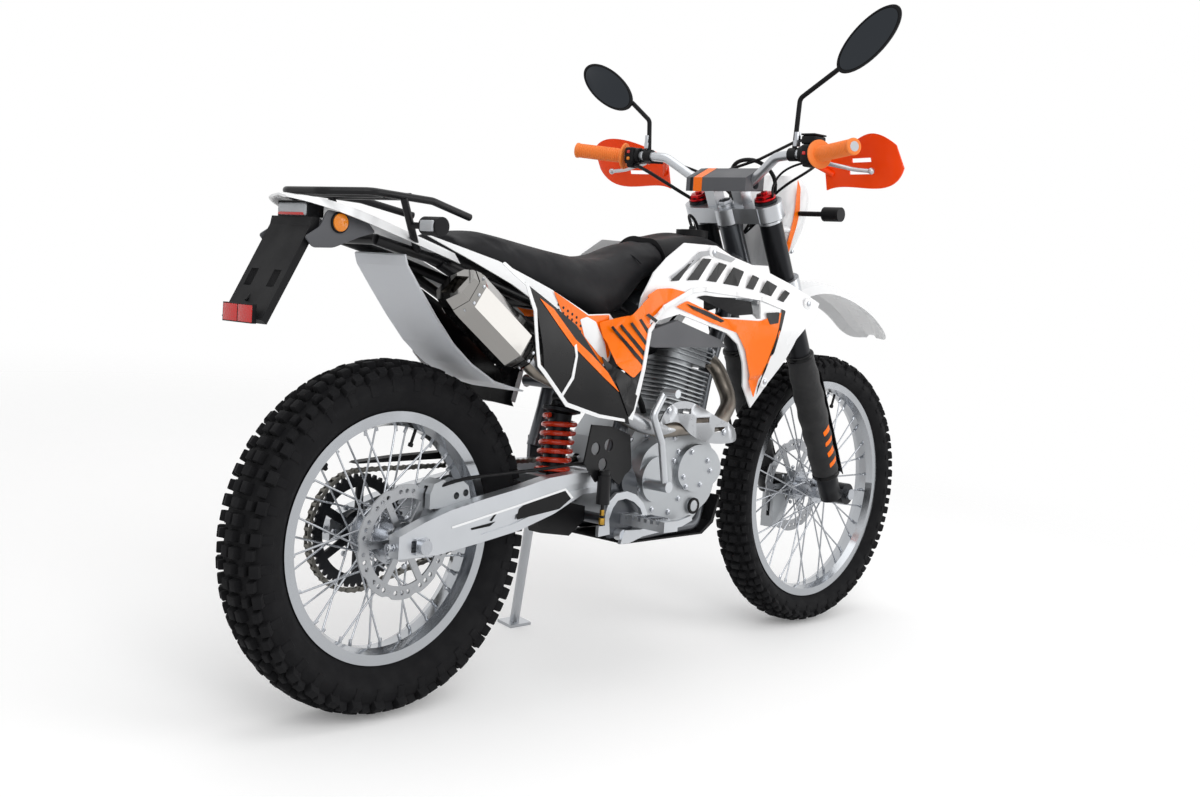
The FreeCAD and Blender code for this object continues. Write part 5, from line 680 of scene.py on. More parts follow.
def chain():
    """A roller chain, link by link."""
    count = settings().links
    spots = chain_spots(count)
    pitch = (spots[1] - spots[0]).length
    eye = [(pitch / 2 + 4.7 * math.cos(math.radians(a)), 4.7 * math.sin(math.radians(a)))
           for a in range(-80, 81, 32)]
    outline = eye + [(0, 3.2)] + [(-x, z) for x, z in eye[::-1]] + [(0, -3.2)]
    inner, outer, rollers = [], [], []
    for number in range(count):
        a, b = spots[number], spots[(number + 1) % count]
        middle = (a + b) / 2
        place = move(middle.x, CHAIN_Y, middle.y) @ Matrix.Rotation(-math.atan2(b.y - a.y, b.x - a.x), 4, "Y")
        rollers.append(move(a.x, CHAIN_Y, a.y) @ turn(90, "X"))
        for side in LEFT_AND_RIGHT:
            (outer if number % 2 else inner).append(place @ move(0, side * (6.6 if number % 2 else 4.8), 0))
    build("drive_chain", "chain_steel", (plate(outline, PLATE_THICK), *inner), (plate(outline, PLATE_THICK), *outer),
          (drum(ROLLER, 8, 0, 14), *rollers), (drum(2.2, 15.8, 0.4, 8), *rollers), replaces=("drive_chain",))


SHOCK = (452, 0, 395)
SHOCK_LEAN = 8
SHOCK_LONG = 212
COIL, WIRE, TURNS, COIL_STEPS, RISE = 33, 5.6, 6.5, 208, 124.0


def shock():
    """A wound spring on its damper, under the frame's cross tube."""
    place = UPRIGHT @ move(*SHOCK) @ turn(SHOCK_LEAN, "Y")
    bm = lathe([(0, 16), (12, 16), (12, 26), (41, 26), (41, 33), (12, 33), (12, 40), (24, 42), (24, 170), (30, 172),
                (41, 176), (41, 183), (26, 186), (24, 190), (24, SHOCK_LONG - 16), (0, SHOCK_LONG - 16)], 40)
    for high in (8, SHOCK_LONG - 8):
        placed(bm, drum(16, 40, 2, 24), move(0, 0, high) @ turn(90, "X"))
    piece("shock_damper", bm, "anodised_black", place, replaces=("shock_absorber",))
    bm = bmesh.new()
    ring = bmesh.ops.create_circle(bm, cap_ends=False, segments=14, radius=WIRE * MM)["verts"]
    bmesh.ops.rotate(bm, verts=ring, cent=(0, 0, 0), matrix=Matrix.Rotation(math.radians(90), 3, "X"))
    bmesh.ops.translate(bm, vec=Vector((COIL, 0, 40)) * MM, verts=ring)
    bmesh.ops.spin(bm, geom=[*bm.verts, *bm.edges], cent=(0, 0, 0), axis=(0, 0, 1),
                   dvec=Vector((0, 0, RISE / COIL_STEPS)) * MM, angle=math.tau * TURNS, steps=COIL_STEPS,
                   use_merge=False, use_duplicate=False)
    bmesh.ops.holes_fill(bm, edges=[e for e in bm.edges if e.is_boundary])
    piece("shock_spring", bm, "spring_enamel", place, smooth=60)


# Printed panels

SIDE_Y = 134.0
PANELS = ("tank_shrouds", "side_panels", "tail_panels")

# Each film of one side: its name, what it lies on, its surface, the rounding of its corners, its lift, its thickness
# and its outlines in the side view, in mm
FILMS = (
    ("side_cover", PANELS, "orange_film", 5, 1.0, 1.6,
     [(418, 767), (490, 784), (560, 826), (600, 842), (640, 845), (690, 838), (630, 808), (557, 768), (542, 701),
      (531, 677), (503, 656), (460, 680), (433, 734)]),
    ("side_cover_low", PANELS, "black_film", 4, 0.6, 1.6,
     [(420, 700), (456, 676), (500, 652), (530, 676), (522, 640), (508, 590), (494, 574), (470, 610), (440, 655)]),
    ("rear_stripe", ("side_cover", "side_cover_low"), "black_film", 0.8, 0.1, 0.3,
     [(442, 758), (447, 762), (534, 689), (531, 679)], [(462, 762), (468, 766), (540, 706), (537, 696)],
     [(486, 768), (493, 771), (545, 726), (543, 716)], [(512, 776), (519, 779), (551, 750), (548, 740)],
     [(540, 786), (548, 790), (576, 777), (570, 771)]),
    ("orange_front", ("tank_shrouds",), "orange_film", 5, 0.4, 0.4,
     [(655, 806), (690, 820), (807, 785), (925, 783), (1010, 808), (998, 762), (968, 653), (957, 604), (925, 650),
      (886, 714), (850, 755), (760, 776)]),
    ("white_edge", (*PANELS, "side_cover", "orange_front"), "white_abs", 2, 0.2, 2.6,
     [(494, 572), (507, 568), (523, 620), (536, 676), (550, 752), (622, 799), (706, 838), (745, 843), (846, 836),
      (930, 829), (1016, 808), (1018, 817), (930, 838), (846, 845), (745, 852), (703, 847), (616, 808), (541, 757),
      (527, 679), (510, 622)]),
    ("duct_mesh", ("tank_shrouds",), "black_plastic", 5, 0.5, 0.4,
     [(717, 829), (744, 834), (902, 826), (912, 797), (844, 792), (800, 806)]),
    ("front_stripe", ("tank_shrouds", "orange_front"), "black_film", 2, 0.1, 0.3,
     [(682, 814), (746, 801), (808, 780), (796, 776), (708, 802)]),
    ("front_edge", ("tank_shrouds", "orange_front"), "black_film", 2, 0.1, 0.3,
     [(999, 812), (1013, 808), (1000, 762), (984, 706), (958, 612), (960, 634), (980, 720), (992, 770)]),
    ("front_block", ("tank_shrouds", "orange_front"), "black_film", 3, 0.1, 0.3,
     [(940, 802), (990, 805), (989, 780), (958, 776)]),
    ("grey_edge", ("tank_shrouds",), "grey_film", 3, 0.5, 0.3,
     [(640, 868), (690, 895), (739, 928), (783, 934), (860, 919), (842, 910), (774, 922), (750, 918), (700, 888),
      (655, 862)]),
    ("tank_bar", ("tank_shrouds",), "black_film", 1.5, 0.5, 0.35,
     [(640, 860), (668, 862), (720, 910), (700, 900)], [(690, 864), (728, 866), (776, 914), (744, 914)],
     [(752, 866), (784, 864), (826, 904), (794, 908)], [(806, 862), (856, 858), (878, 892), (838, 900)],
     [(880, 856), (906, 852), (930, 880), (902, 886)], [(928, 848), (966, 840), (990, 864), (950, 876)],
     [(986, 834), (1008, 828), (1034, 850), (1012, 857)]),
    ("side_edge", ("side_panels",), "white_abs", 1.5, 0.5, 1.6,
     [(106, 872), (165, 836), (190, 786), (212, 680), (298, 602), (398, 577), (482, 566), (480, 572), (400, 584),
      (302, 610), (219, 684), (197, 790), (170, 843), (112, 876)]),
    ("side_curve", ("side_panels",), "white_abs", 1.5, 0.5, 1.2,
     [(310, 722), (316, 702), (308, 660), (278, 620), (283, 617), (315, 657), (322, 702), (316, 726)]),
    ("tail_orange", ("tail_panels",), "orange_film", 3, 0.5, 0.3,
     [(286, 826), (388, 780), (452, 783), (462, 700), (430, 668), (400, 702), (330, 755)]),
    ("tail_slash", ("side_panels", "tail_panels"), "orange_film", 2, 0.9, 0.3,
     [(205, 812), (246, 792), (312, 735), (368, 702), (418, 668), (456, 628), (400, 662), (306, 722), (262, 760)]),
    ("tail_flash", ("tail_panels",), "white_abs", 3, 1.0, 0.4,
     [(384, 778), (412, 768), (445, 723), (458, 684), (424, 704), (380, 738), (364, 772)]),
)
DOTS = [(302 + 13 * column, 800 - 6 * column - 11 * row) for column in range(6) for row in range(4)]
BOLTS = ((786, 929), (987, 642), (500, 622), (1095, 828))


def side_graphics():
    """Films and raised edges on the tank, side and tail panels, on both sides."""
    for side, tag in SIDES:
        laid = {node: target(node) for node in PANELS}
        for name, under, kind, corner, lift, thick, *outlines in FILMS:
            for index, outline in enumerate(outlines):
                number = "_%d" % index if len(outlines) > 1 else ""
                sheet = film(name + number + "_" + tag, [laid[key] for key in under], outline, side, kind, corner,
                             lift, thick)
            laid[name] = skin(sheet)
        build("tail_dots_" + tag, "black_film", (drum(3.0, 0.5, 0.1, 8), *[
            move(x, outermost([laid["tail_panels"]], x, z, side, SIDE_Y) + side * 0.9, z) @ turn(90, "X")
            for x, z in DOTS]))
        bolts(laid["tank_shrouds"], tag, side)


def bolts(shroud, tag, side):
    """The white bosses with their socket screws that hold the panels."""
    bm = bmesh.new()
    heads = bmesh.new()
    for x, z in BOLTS:
        y = outermost([shroud], x, z, side, SIDE_Y + 3)
        placed(bm, drum(15, 3, 1.4, 28, 13), move(x, y + side * 2.2, z) @ turn(90 * -side, "X"))
        placed(heads, drum(6, 4.5, 1.0, 24), move(x, y + side * 4.4, z) @ turn(90, "X"))
        placed(heads, drum(3, 5.4, 0.2, 6), move(x, y + side * 4.4, z) @ turn(90, "X"))
    piece("panel_bosses_" + tag, bm, "white_abs")
    piece("panel_screws_" + tag, heads, "fastener_zinc")


# Seat

SEAT_VOXEL = 7.0
PRESSURE, CLOTH_FRAMES = 4.0, 20
PUFF, BASE_PUFF = 6.0, 0.5
BASE_HIGH, BASE_HALF = 800, 90
SEAM_X, SEAM_HALF, SEAM_BOW = 596, 82, 14


def seat_cover():
    """The padded seat: the CAD block, blown up a little inside its cover, with its seam."""
    source = frame["nodes"]["seat"]
    bm = bmesh.new()
    bm.from_mesh(source.data)
    bmesh.ops.transform(bm, matrix=source.matrix_world, verts=bm.verts)
    bmesh.ops.remove_doubles(bm, verts=bm.verts, dist=0.05 * MM)
    mesh = bpy.data.meshes.new("seat_cover")
    bm.to_mesh(mesh)
    bm.free()
    obj = linked("seat_cover", mesh)
    bpy.context.view_layer.objects.active = obj
    obj.select_set(True)
    remesh = obj.modifiers.new("even", "REMESH")
    remesh.mode = "VOXEL"
    remesh.voxel_size = SEAT_VOXEL * MM
    obj.modifiers.new("round", "SMOOTH").iterations = 6
    apply_all(obj)
    rest = [v.co.copy() for v in obj.data.vertices]
    blown(obj)
    back = UPRIGHT.inverted()
    for v, home in zip(obj.data.vertices, rest):
        step = v.co - home
        low = (back @ home).z < BASE_HIGH * MM and abs((back @ home).y) < BASE_HALF * MM
        limit = (BASE_PUFF if low else PUFF) * MM
        if step.length > limit:
            v.co = home + step.normalized() * limit
    split = obj.modifiers.new("fine", "SUBSURF")
    split.levels = 1
    split.render_levels = 1
    apply_all(obj)
    obj.data.shade_smooth()
    settled(obj, "seat_vinyl", replaces=("seat",))
    line = []
    for step in range(-6, 7):
        eye = Vector((SEAM_X + SEAM_BOW * (step / 6) ** 2, SEAM_HALF * step / 6, 1400))
        spot = target("seat").ray_cast(eye, Vector((0, 0, -1)), 900)[0]
        if spot:
            line.append((spot.x, spot.y, spot.z + 2.0))
    cable("seat_seam_0", line, 1.6, "seat_vinyl")


def blown(obj):
    """Air pressure inside the cover for twenty frames."""
    cloth = obj.modifiers.new("cover", "CLOTH")
    cloth.settings.use_pressure = True
    cloth.settings.uniform_pressure_force = PRESSURE
    cloth.settings.effector_weights.gravity = 0.0
    scene = bpy.context.scene
    for number in range(1, CLOTH_FRAMES + 1):
        scene.frame_set(number)
    apply_all(obj)
    scene.frame_set(1)


def apply_all(obj):
    graph = bpy.context.evaluated_depsgraph_get()
    mesh = bpy.data.meshes.new_from_object(obj.evaluated_get(graph))
    obj.modifiers.clear()
    old = obj.data
    obj.data = mesh
    bpy.data.meshes.remove(old)


# Cockpit

BAR = [(985, 0, 1095), (985, 69.5, 1095), (955.3, 163.6, 1155), (949, 225, 1160.3), (944.5, 286.3, 1158.8),
       (896.8, 409, 1170)]


PERCH = (948, 238, 1160)
GRIP_RIBS, RIB_PITCH = (16, 122), 5.6
# The buttons of each switch block, with their heights from its middle
BUTTONS = {"left": (("red_lens", 8), ("amber_lens", -8)), "right": (("red_lens", 0),)}
# A lever's route: from its perch, then out to its ball
LEVER_ROOT = ((22, 0, -2), (40, 12, -10), (48, 34, -16), (54, 80, -24))
LEVER_END = ((1008, 340, 1131), (1006, 383, 1128))


def mirrored(point, side):
    return (point[0], side * point[1], point[2])


def both(x, y, z):
    """A place on each side of the bike, the left one first."""
    return [move(x, side * y, z) for side in LEFT_AND_RIGHT]


def grips():
    """Ribbed grips with round flanges."""
    profile = [(11.4, 0), (31, 0), (32, 1.5), (32, 4), (30, 5.5), (19, 6.5), (17.4, 12)]
    at, end = GRIP_RIBS
    while at < end:
        profile += [(16.2, at), (16.4, at + 1.2), (17.5, at + 1.8), (17.5, at + 4.4), (16.4, at + 5)]
        at += RIB_PITCH
    profile += [(17.2, 124), (18.6, 126), (18.6, 130), (16, 131.8), (0, 131.8)]
    for side, tag in SIDES:
        start = Vector(mirrored(BAR[4], side))
        line = Vector(mirrored(BAR[5], side)) - start
        place = Matrix.Translation(start * MM) @ line.to_track_quat("Z", "Y").to_matrix().to_4x4()
        build("grip_" + tag, "grip_rubber", (lathe(profile, 40), place), body="steering", replaces=("grips",))


def switches():
    """Switch block, throttle housing, perches, levers and the fluid tank."""
    for side, tag in SIDES:
        start = Vector(mirrored(PERCH, side))
        line = Vector(mirrored(BAR[4], side)) - start
        place = Matrix.Translation(start * MM) @ line.to_track_quat("Z", "X").to_matrix().to_4x4()

        def near(x, y, z):
            return Matrix.Translation(start * MM + Vector((x, side * y, z)) * MM)

        build("switch_block_" + tag, "black_plastic", (slab((40, 44, 26), 6, 3), place @ move(0, 0, 24)),
              (drum(19, 12, 2, 28), place @ move(0, 0, 6)), (slab((22, 34, 18), 5, 3), place @ move(-18, 0, 24)),
              body="steering", replaces=("switchgear",))
        for index, (kind, high) in enumerate(BUTTONS[tag]):
            build("switch_button_%d_%s" % (index, tag), kind, (slab((7, 9, 8), 2, 2), near(-22, 22, high)),
                  body="steering")
        build("lever_perch_" + tag, "powder_coat", (slab((26, 20, 34), 5, 3), near(10, -2, 0)),
              (drum(6, 26, 1, 16), near(26, 4, -2)), body="steering")
        lever = [start + Vector(mirrored(spot, side)) for spot in LEVER_ROOT]
        cable("lever_" + tag, lever + [mirrored(spot, side) for spot in LEVER_END], 4.6, "arm_aluminium",
              "steering")
        bm = bmesh.new()
        bmesh.ops.create_uvsphere(bm, u_segments=20, v_segments=12, radius=7.6 * MM)
        bmesh.ops.translate(bm, vec=Vector((1006, side * 385, 1128)) * MM, verts=bm.verts)
        placed(bm, drum(2, 12, 0.4, 10), move(998, side * 255, 1150))
        piece("lever_ball_" + tag, bm, "arm_aluminium", body="steering")
    build("fluid_tank", "black_plastic", (slab((46, 36, 19), 4, 3), move(962, -257, 1191)),
          (slab((47, 37, 4), 1.5, 2), move(962, -257, 1203)), body="steering")


def mirror_trim():
    """Glasses, rims and the threaded foot of each mirror stem."""
    for side, tag, y, z, degrees in ((1, "left", 350, 1328, 30), (-1, "right", -400, 1400, -41)):
        place = move(931.6, y, z) @ turn(degrees, "X")
        build("mirror_glass_" + tag, "mirror_glass",
              (drum(95, 1.2, 0.4, 64), place @ Matrix.Diagonal((1, 0.90, 0.385, 1)) @ turn(90, "Y")), body="steering")
        bm = lathe([(89, -1.0), (95.4, -1.0), (96.5, 0.8), (95.4, 3), (89, 3)], 72, closed=True)
        bmesh.ops.transform(bm, matrix=place @ Matrix.Diagonal((1, 0.985, 0.43, 1)) @ turn(90, "Y"), verts=bm.verts)
        piece("mirror_rim_" + tag, bm, "black_plastic", body="steering")
        build("mirror_nut_" + tag, "fastener_zinc", (drum(9, 14, 1, 6), move(950, side * 221, 1184)),
              (drum(7.4, 26, 0.5, 20), move(950, side * 221.5, 1196)), body="steering")


STEM_NUT_Z, RISER_Z = 27, 86
PINCH_SCREWS = (-11, 5, -212, -192)


def clamp_trim():
    """Fork caps, stem nut, riser caps and pinch screws."""
    bm = bmesh.new()
    for y in LEGS:
        placed(bm, drum(22, 9, 1.5, 6), move(LEG_X, y, 33))
        placed(bm, drum(25.5, 5, 1.2, 36), move(LEG_X, y, 27))
        placed(bm, drum(8, 14, 1, 20), move(LEG_X, y, 36))
    piece("fork_caps", bm, "anodised_red", place=STEER, body="steering")
    bm = bmesh.new()
    placed(bm, drum(17, 13, 2, 6), move(0, 0, STEM_NUT_Z))
    placed(bm, drum(20, 3, 0.8, 32), move(0, 0, 19))
    for side in LEFT_AND_RIGHT:
        for x in (3, 29):
            for y in (-7, 7):
                placed(bm, drum(4.4, 9, 0.8, 18), move(x, side * 40 + y, RISER_Z))
                placed(bm, drum(2.2, 10, 0.1, 6), move(x, side * 40 + y, RISER_Z))
        for z in PINCH_SCREWS:
            placed(bm, drum(4.5, 12, 0.8, 18), move(62, side * 84, z) @ turn(90, "X"))
    piece("clamp_screws", bm, "fastener_zinc", place=STEER, body="steering")


def pad_stripes():
    """Stripes of film across the bar pad."""
    along = UPRIGHT @ turn(90, "Z")
    wrap("pad_orange", "bar_pad", along, 40, 66, "orange_film", 0.5, "steering")
    wrap("pad_black", "bar_pad", along, 68, 76, "black_film", 0.5, "steering")


# Engine, exhaust and controls

CYLINDER = move(770, 0, 440) @ turn(12, "Y")
SILENCER = move(216, -143, 694) @ turn(35.5, "Y")
SILENCER_BANDS = (("strap", -34, -26, 0.8), ("front_ring", -12, -4, 1.2), ("end_ring", -226, -214, 1.2))

RIGHT_SCREWS = ((566, 503), (610, 514), (662, 520), (714, 518), (731, 486), (740, 430), (741, 380), (708, 353),
                (652, 362), (606, 410), (580, 452), (718, 466), (764, 485), (822, 463), (833, 440), (800, 410),
                (750, 408))
FLANGE = [(-34, -9), (-12, -24), (12, -24), (34, -9), (34, 9), (12, 24), (-12, 24), (-34, 9)]
SHIELD_SCREWS = ((640, 583), (836, 530))
LEFT_SCREWS = ((600, 372), (718, 372), (718, 456), (600, 456), (790, 500), (840, 471), (840, 413), (790, 384),
               (740, 413), (740, 471))


def screws(name, node, side, spots, radius=5.2, body="frame"):
    """Flanged socket screws standing on a node, wherever a spot of the side view meets it."""
    surface = target(node)
    bm = bmesh.new()
    for x, z in spots:
        hit = beside(surface, x, z, side)
        if hit is None:
            continue
        place = Matrix.Translation(hit * MM) @ turn(90, "X")
        placed(bm, drum(radius * 1.35, 1.6, 0.4, 20), place)
        placed(bm, drum(radius, 9.0, 1.0, 20), place)
        placed(bm, drum(radius * 0.5, 9.4, 0.1, 6), place)
    return piece(name, bm, "fastener_zinc", body=body)


def engine_trim():
    """Cover screws and plugs, sight glass, spark cap and lead, head nuts, port flange and hoses."""
    screws("engine_screws_right", "engine_cases", -1, RIGHT_SCREWS)
    screws("engine_screws_left", "engine_cases", 1, LEFT_SCREWS)
    bm = lathe([(12.5, -3), (18, -3), (18.6, -1), (18, 2.4), (13.5, 2.4), (12.5, 1)], 40, closed=True)
    bmesh.ops.transform(bm, matrix=move(790, -126.5, 362) @ turn(90, "X"), verts=bm.verts)
    for x, z, radius in ((574, 431, 22), (499, 616, 9)):
        y = outermost([target("engine_cases")], x, z, -1, 100) if radius > 10 else -126
        placed(bm, drum(radius, 8, 2, 32), move(x, y - 2, z) @ turn(90, "X"))
        placed(bm, drum(radius * 0.45, 12, 0.5, 6), move(x, y - 2, z) @ turn(90, "X"))
    piece("engine_plugs", bm, "black_plastic")
    build("sight_glass", "clear_lens", (drum(13, 3, 1, 32), move(790, -126.2, 362) @ turn(90, "X")))
    bm = bmesh.new()
    for x in (-54, 54):
        for y in (-48, 48):
            placed(bm, drum(7, 8, 1, 6), move(x, y, 305))
            placed(bm, drum(9, 2, 0.5, 24), move(x, y, 303))
    for x in (-36, 36):
        for y in (-38, 38):
            placed(bm, drum(5, 6, 1, 18), move(x, y, 319))
    piece("head_nuts", bm, "fastener_zinc", place=UPRIGHT @ CYLINDER)
    plug = move(6, 66, 280) @ turn(-62, "X")
    build("spark_cap", "hose_rubber", (drum(9, 54, 3, 24), plug @ move(0, 0, 22)), (drum(11.5, 8, 2, 24), plug),
          (drum(10.5, 5, 1.5, 24), plug @ move(0, 0, 30)), place=UPRIGHT @ CYLINDER)
    cable("spark_lead", [(848, 112, 732), (846, 122, 752), (838, 96, 778), (826, 48, 786), (820, 34, 792)], 3.5)
    port = move(893, -38, 701) @ turn(78, "Y")
    build("port_flange", "fastener_zinc", (plate(FLANGE, 7, 4, 1), port @ turn(90, "Z") @ turn(90, "X")),
          (drum(5.6, 12, 1, 6), port @ move(0, -27, 5), port @ move(0, 27, 5)))
    cable("engine_breather", [(700, -40, 560), (660, -62, 600), (600, -74, 632), (560, -70, 660)], 7)
    cable("clutch_wire", [(716, 96, 500), (736, 104, 560), (800, 84, 660), (868, 62, 740), (915, 52, 800)], 3.4)


def exhaust_trim():
    """The silencer's rivets, strap and end rings, and the heat shield's screws."""
    for name, low, high, grow in SILENCER_BANDS:
        wrap("silencer_" + name, "silencer", SILENCER, low, high, "silencer_steel", grow)
    bm = bmesh.new()
    for x in (-22, -204):
        for z in (-19, 0, 19):
            placed(bm, drum(3.4, 3.0, 1.2, 16), move(x, -41, z) @ turn(90, "X"))
        for turned in (-1, 1):
            placed(bm, drum(3.4, 3.0, 1.2, 16), move(x, -28, turned * 36) @ turn(turned * 45 + 90, "X"))
    piece("silencer_rivets", bm, "fastener_zinc", place=UPRIGHT @ SILENCER)
    screws("shield_screws", "exhaust_header", -1, SHIELD_SCREWS, 6.5)


def control_trim():
    """Peg springs and teeth, the brake rod's clevis and the rear brake hose."""
    bm = bmesh.new()
    for side in LEFT_AND_RIGHT:
        for number in range(6):
            placed(bm, drum(1.6, 52, 0.6, 8), move(545 + 8 * number, side * 200, 363.6) @ turn(90, "X"))
        coil = lathe([(9, -1.4), (12, 0), (9, 1.4)], 20, closed=True)
        placed(bm, coil, *[move(565, side * (120 + 3.1 * n), 352) @ turn(90, "X") for n in range(4)])
    piece("peg_teeth", bm, "fastener_zinc")
    build("brake_rod_clevis", "brass", (drum(5.5, 12, 1, 6), move(462, -148.7, 374)),
          (drum(6.5, 14, 1.5, 20), move(462, -148.7, 356)))
    cable("rear_brake_hose", [(447, -134, 470), (430, -122, 478), (330, -104, 466), (190, -104, 462),
                              (100, -102, 458), (70, -86, 444)], 3.5)


# Lamps

LAMP = (1219.5, 0, 1032)


def front_lights():
    """Headlamp glass in its rim, and the amber lenses of the front signals."""
    lamp = move(*LAMP) @ turn(90, "Y")
    glass = lathe([(0, 2.5), (20, 1.6), (40, -1.4), (54, -5), (56.5, -9), (0, -9)], 64)
    rim = lathe([(54, -6), (58, -3.4), (61, -5), (61.5, -12), (56, -12)], 64, closed=True)
    build("headlamp_glass", "clear_lens", (glass, lamp), body="steering")
    build("headlamp_rim", "black_plastic", (rim, lamp), body="steering")
    build("front_signal_lenses", "amber_lens", (slab((7, 36, 20), 3, 3), *both(1157, 201, 1040)), body="steering")


TAIL_BRACKET = [(-212, 946), (-128, 936), (-104, 912), (-140, 902), (-196, 880), (-240, 878), (-258, 896),
                (-226, 916)]


def rear_lights():
    """Tail lamp glass, two-tone reflector, amber side reflector and rear signal lenses."""
    build("tail_lamp_glass", "clear_lens", (slab((10, 82, 22), 4, 3), move(-235, 0, 944)))
    build("tail_reflector", "red_lens",
          (slab((6, 43, 30), 1.5, 2), move(-338, -22.5, 758.5), move(-338, 22.5, 758.5)),
          (slab((4, 74, 5), 1, 2), move(-239, 0, 936)))
    build("rear_signal_lenses", "clear_lens", (slab((7, 36, 20), 3, 3), *both(-68, 167, 930)))
    build("tail_brackets", "grey_plastic", (plate(TAIL_BRACKET, 4, 6, 1), *both(0, 68, 0)))
    for name, kind, part, y in (("side_reflectors", "amber_lens", drum(16, 6, 2, 36), 73),
                                ("side_reflector_rims", "black_plastic", drum(19, 5, 1.5, 36), 71)):
        build(name, kind, (part, *[at @ turn(90, "X") for at in both(-186, y, 925)]))
    cable("plate_wire", [(-210, 16, 925), (-246, 18, 880), (-284, 14, 812), (-318, 10, 780)], 2.4)


# Cables, fork and swingarm

# Each cable at the bars: its name, its side, its radius and its route on the left
ROUTES = (
    ("throttle_cable", -1, 3.4, [(948, 262, 1140), (985, 256, 1146), (1050, 200, 1138), (1080, 90, 1096),
                                 (1078, 20, 1030), (1062, 4, 985)]),
    ("clutch_cable", 1, 3.4, [(950, 262, 1142), (990, 256, 1150), (1056, 196, 1150), (1084, 84, 1104),
                              (1078, 14, 1036), (1060, 0, 988)]),
    ("switch_wire", 1, 4.2, [(940, 252, 1138), (930, 214, 1128), (948, 160, 1098), (1000, 120, 1064),
                             (1050, 66, 1030), (1062, 14, 990)]),
    ("kill_wire", -1, 2.6, [(942, 250, 1140), (936, 205, 1130), (962, 150, 1090), (1030, 110, 1060),
                            (1066, 50, 1020), (1060, 10, 986)]),
    ("front_loop", 1, 5.0, [(1056, 30, 1000), (1090, 60, 1060), (1086, 70, 1130), (1060, 30, 1160),
                            (1054, -40, 1160), (1080, -80, 1118), (1088, -60, 1050), (1058, -24, 1000)]),
)
CAP_X, CAP_Z = 873, 978


def cables():
    """Control cables and wires at the bars, the tank's breather and its cap."""
    for name, side, radius, route in ROUTES:
        cable(name, [mirrored(p, side) for p in route], radius, body="steering")
    cable("tank_breather", [(873, 0, 984), (866, 8, 1008), (892, 26, 1018), (926, 30, 1000), (938, 26, 962)],
          3.6)
    bm = lathe([(0, 12), (6, 12), (8, 9), (8, 4), (26, 3), (31, 1), (33, -2), (33, -5), (0, -5)], 48)
    bmesh.ops.transform(bm, matrix=move(CAP_X, 0, CAP_Z), verts=bm.verts)
    for number in range(12):
        placed(bm, slab((5, 6, 6), 1.5, 2), move(CAP_X, 0, CAP_Z - 2) @ turn(30 * number, "Z") @ move(33, 0, 0))
    piece("filler_cap_top", bm, "black_plastic")


# Both fork legs beside the steering axis, and the heights of their socks along it, in mm
LEGS = (98, -98)
LEG_X = 27
SOCK_TOP, SOCK_FOOT = -380, -727
SOCK_BANDS, SOCK_BARS, TUBE_RINGS = (-386, -719), (-690, -660, -630, -600), (-236, -30)
FOOT_REACH = 52
GUARD_SLIM = 0.8


def sock_profile():
    """The outline of a fork sock: gathered at both bands, with soft folds between them."""
    folds = [(35.4 + 1.2 * math.sin(z / 9.0) + 1.5 * math.sin(z / 47.0), z) for z in range(-400, -706, -4)]
    return [(27.3, SOCK_TOP), (32.4, -381), (32.4, -391), *folds, (32.4, -713), (32.4, -725), (27.3, SOCK_FOOT)]


def fork_legs():
    """Fabric socks round the fork legs, the cast feet below them and the guards in front of them."""
    bm = bmesh.new()
    placed(bm, lathe(sock_profile(), 48, closed=True), *[move(LEG_X, y, 0) for y in LEGS])
    socks = piece("fork_socks", bm, "sock_fabric", place=STEER, body="steering", replaces=("fork_lowers",),
                  smooth=70)
    bm = copied("fork_lowers", STEER)
    inside = [f for f in bm.faces if f.calc_center_median().z > SOCK_FOOT * MM
              and min((f.calc_center_median().xy - Vector((LEG_X, y)) * MM).length for y in LEGS) < FOOT_REACH * MM]
    bmesh.ops.delete(bm, geom=inside, context="FACES")
    piece("fork_feet", bm, "anodised_black", place=STEER, body="steering")
    bm = copied("fork_guards", STEER)
    for y in LEGS:
        bmesh.ops.scale(bm, vec=(GUARD_SLIM, GUARD_SLIM, 1.0), space=move(-LEG_X, -y, 0),
                        verts=[v for v in bm.verts if v.co.y * y > 0])
    piece("fork_shields", bm, "black_plastic", place=STEER, body="steering", replaces=("fork_guards",))
    return socks


def fork_trim():
    """The fork's legs, bands round their socks, rings on the tubes and slanted bars on the socks."""
    socks = fork_legs()
    bands = bmesh.new()
    marks = bmesh.new()
    for y in LEGS:
        for z in SOCK_BANDS:
            placed(bands, lathe([(31, -5), (33.6, -5), (34.6, -2), (34.6, 2), (33.6, 5), (31, 5)], 40, closed=True),
                   move(LEG_X, y, z))
        placed(marks, lathe([(26.5, -3), (28.2, -3), (28.2, 3), (26.5, 3)], 40, closed=True),
               *[move(LEG_X, y, z) for z in TUBE_RINGS])
    piece("sock_bands", bands, "black_film", place=STEER, body="steering")
    piece("fork_rings", marks, "arm_aluminium", place=STEER, body="steering")
    to_bike = UPRIGHT.inverted() @ STEER
    for side, tag in SIDES:
        for index, low in enumerate(SOCK_BARS):
            corners = ((12, low), (38, low + 8), (38, low + 22), (12, low + 12))
            spots = [to_bike @ (Vector((x, side * 98, z)) * MM) / MM for x, z in corners]
            film("sock_bar_%d_%s" % (index, tag), [skin(socks)], [(p.x, p.z) for p in spots], side, "orange_film",
                 2, 0.3, 0.3, body="steering", cell=6, taut=0)


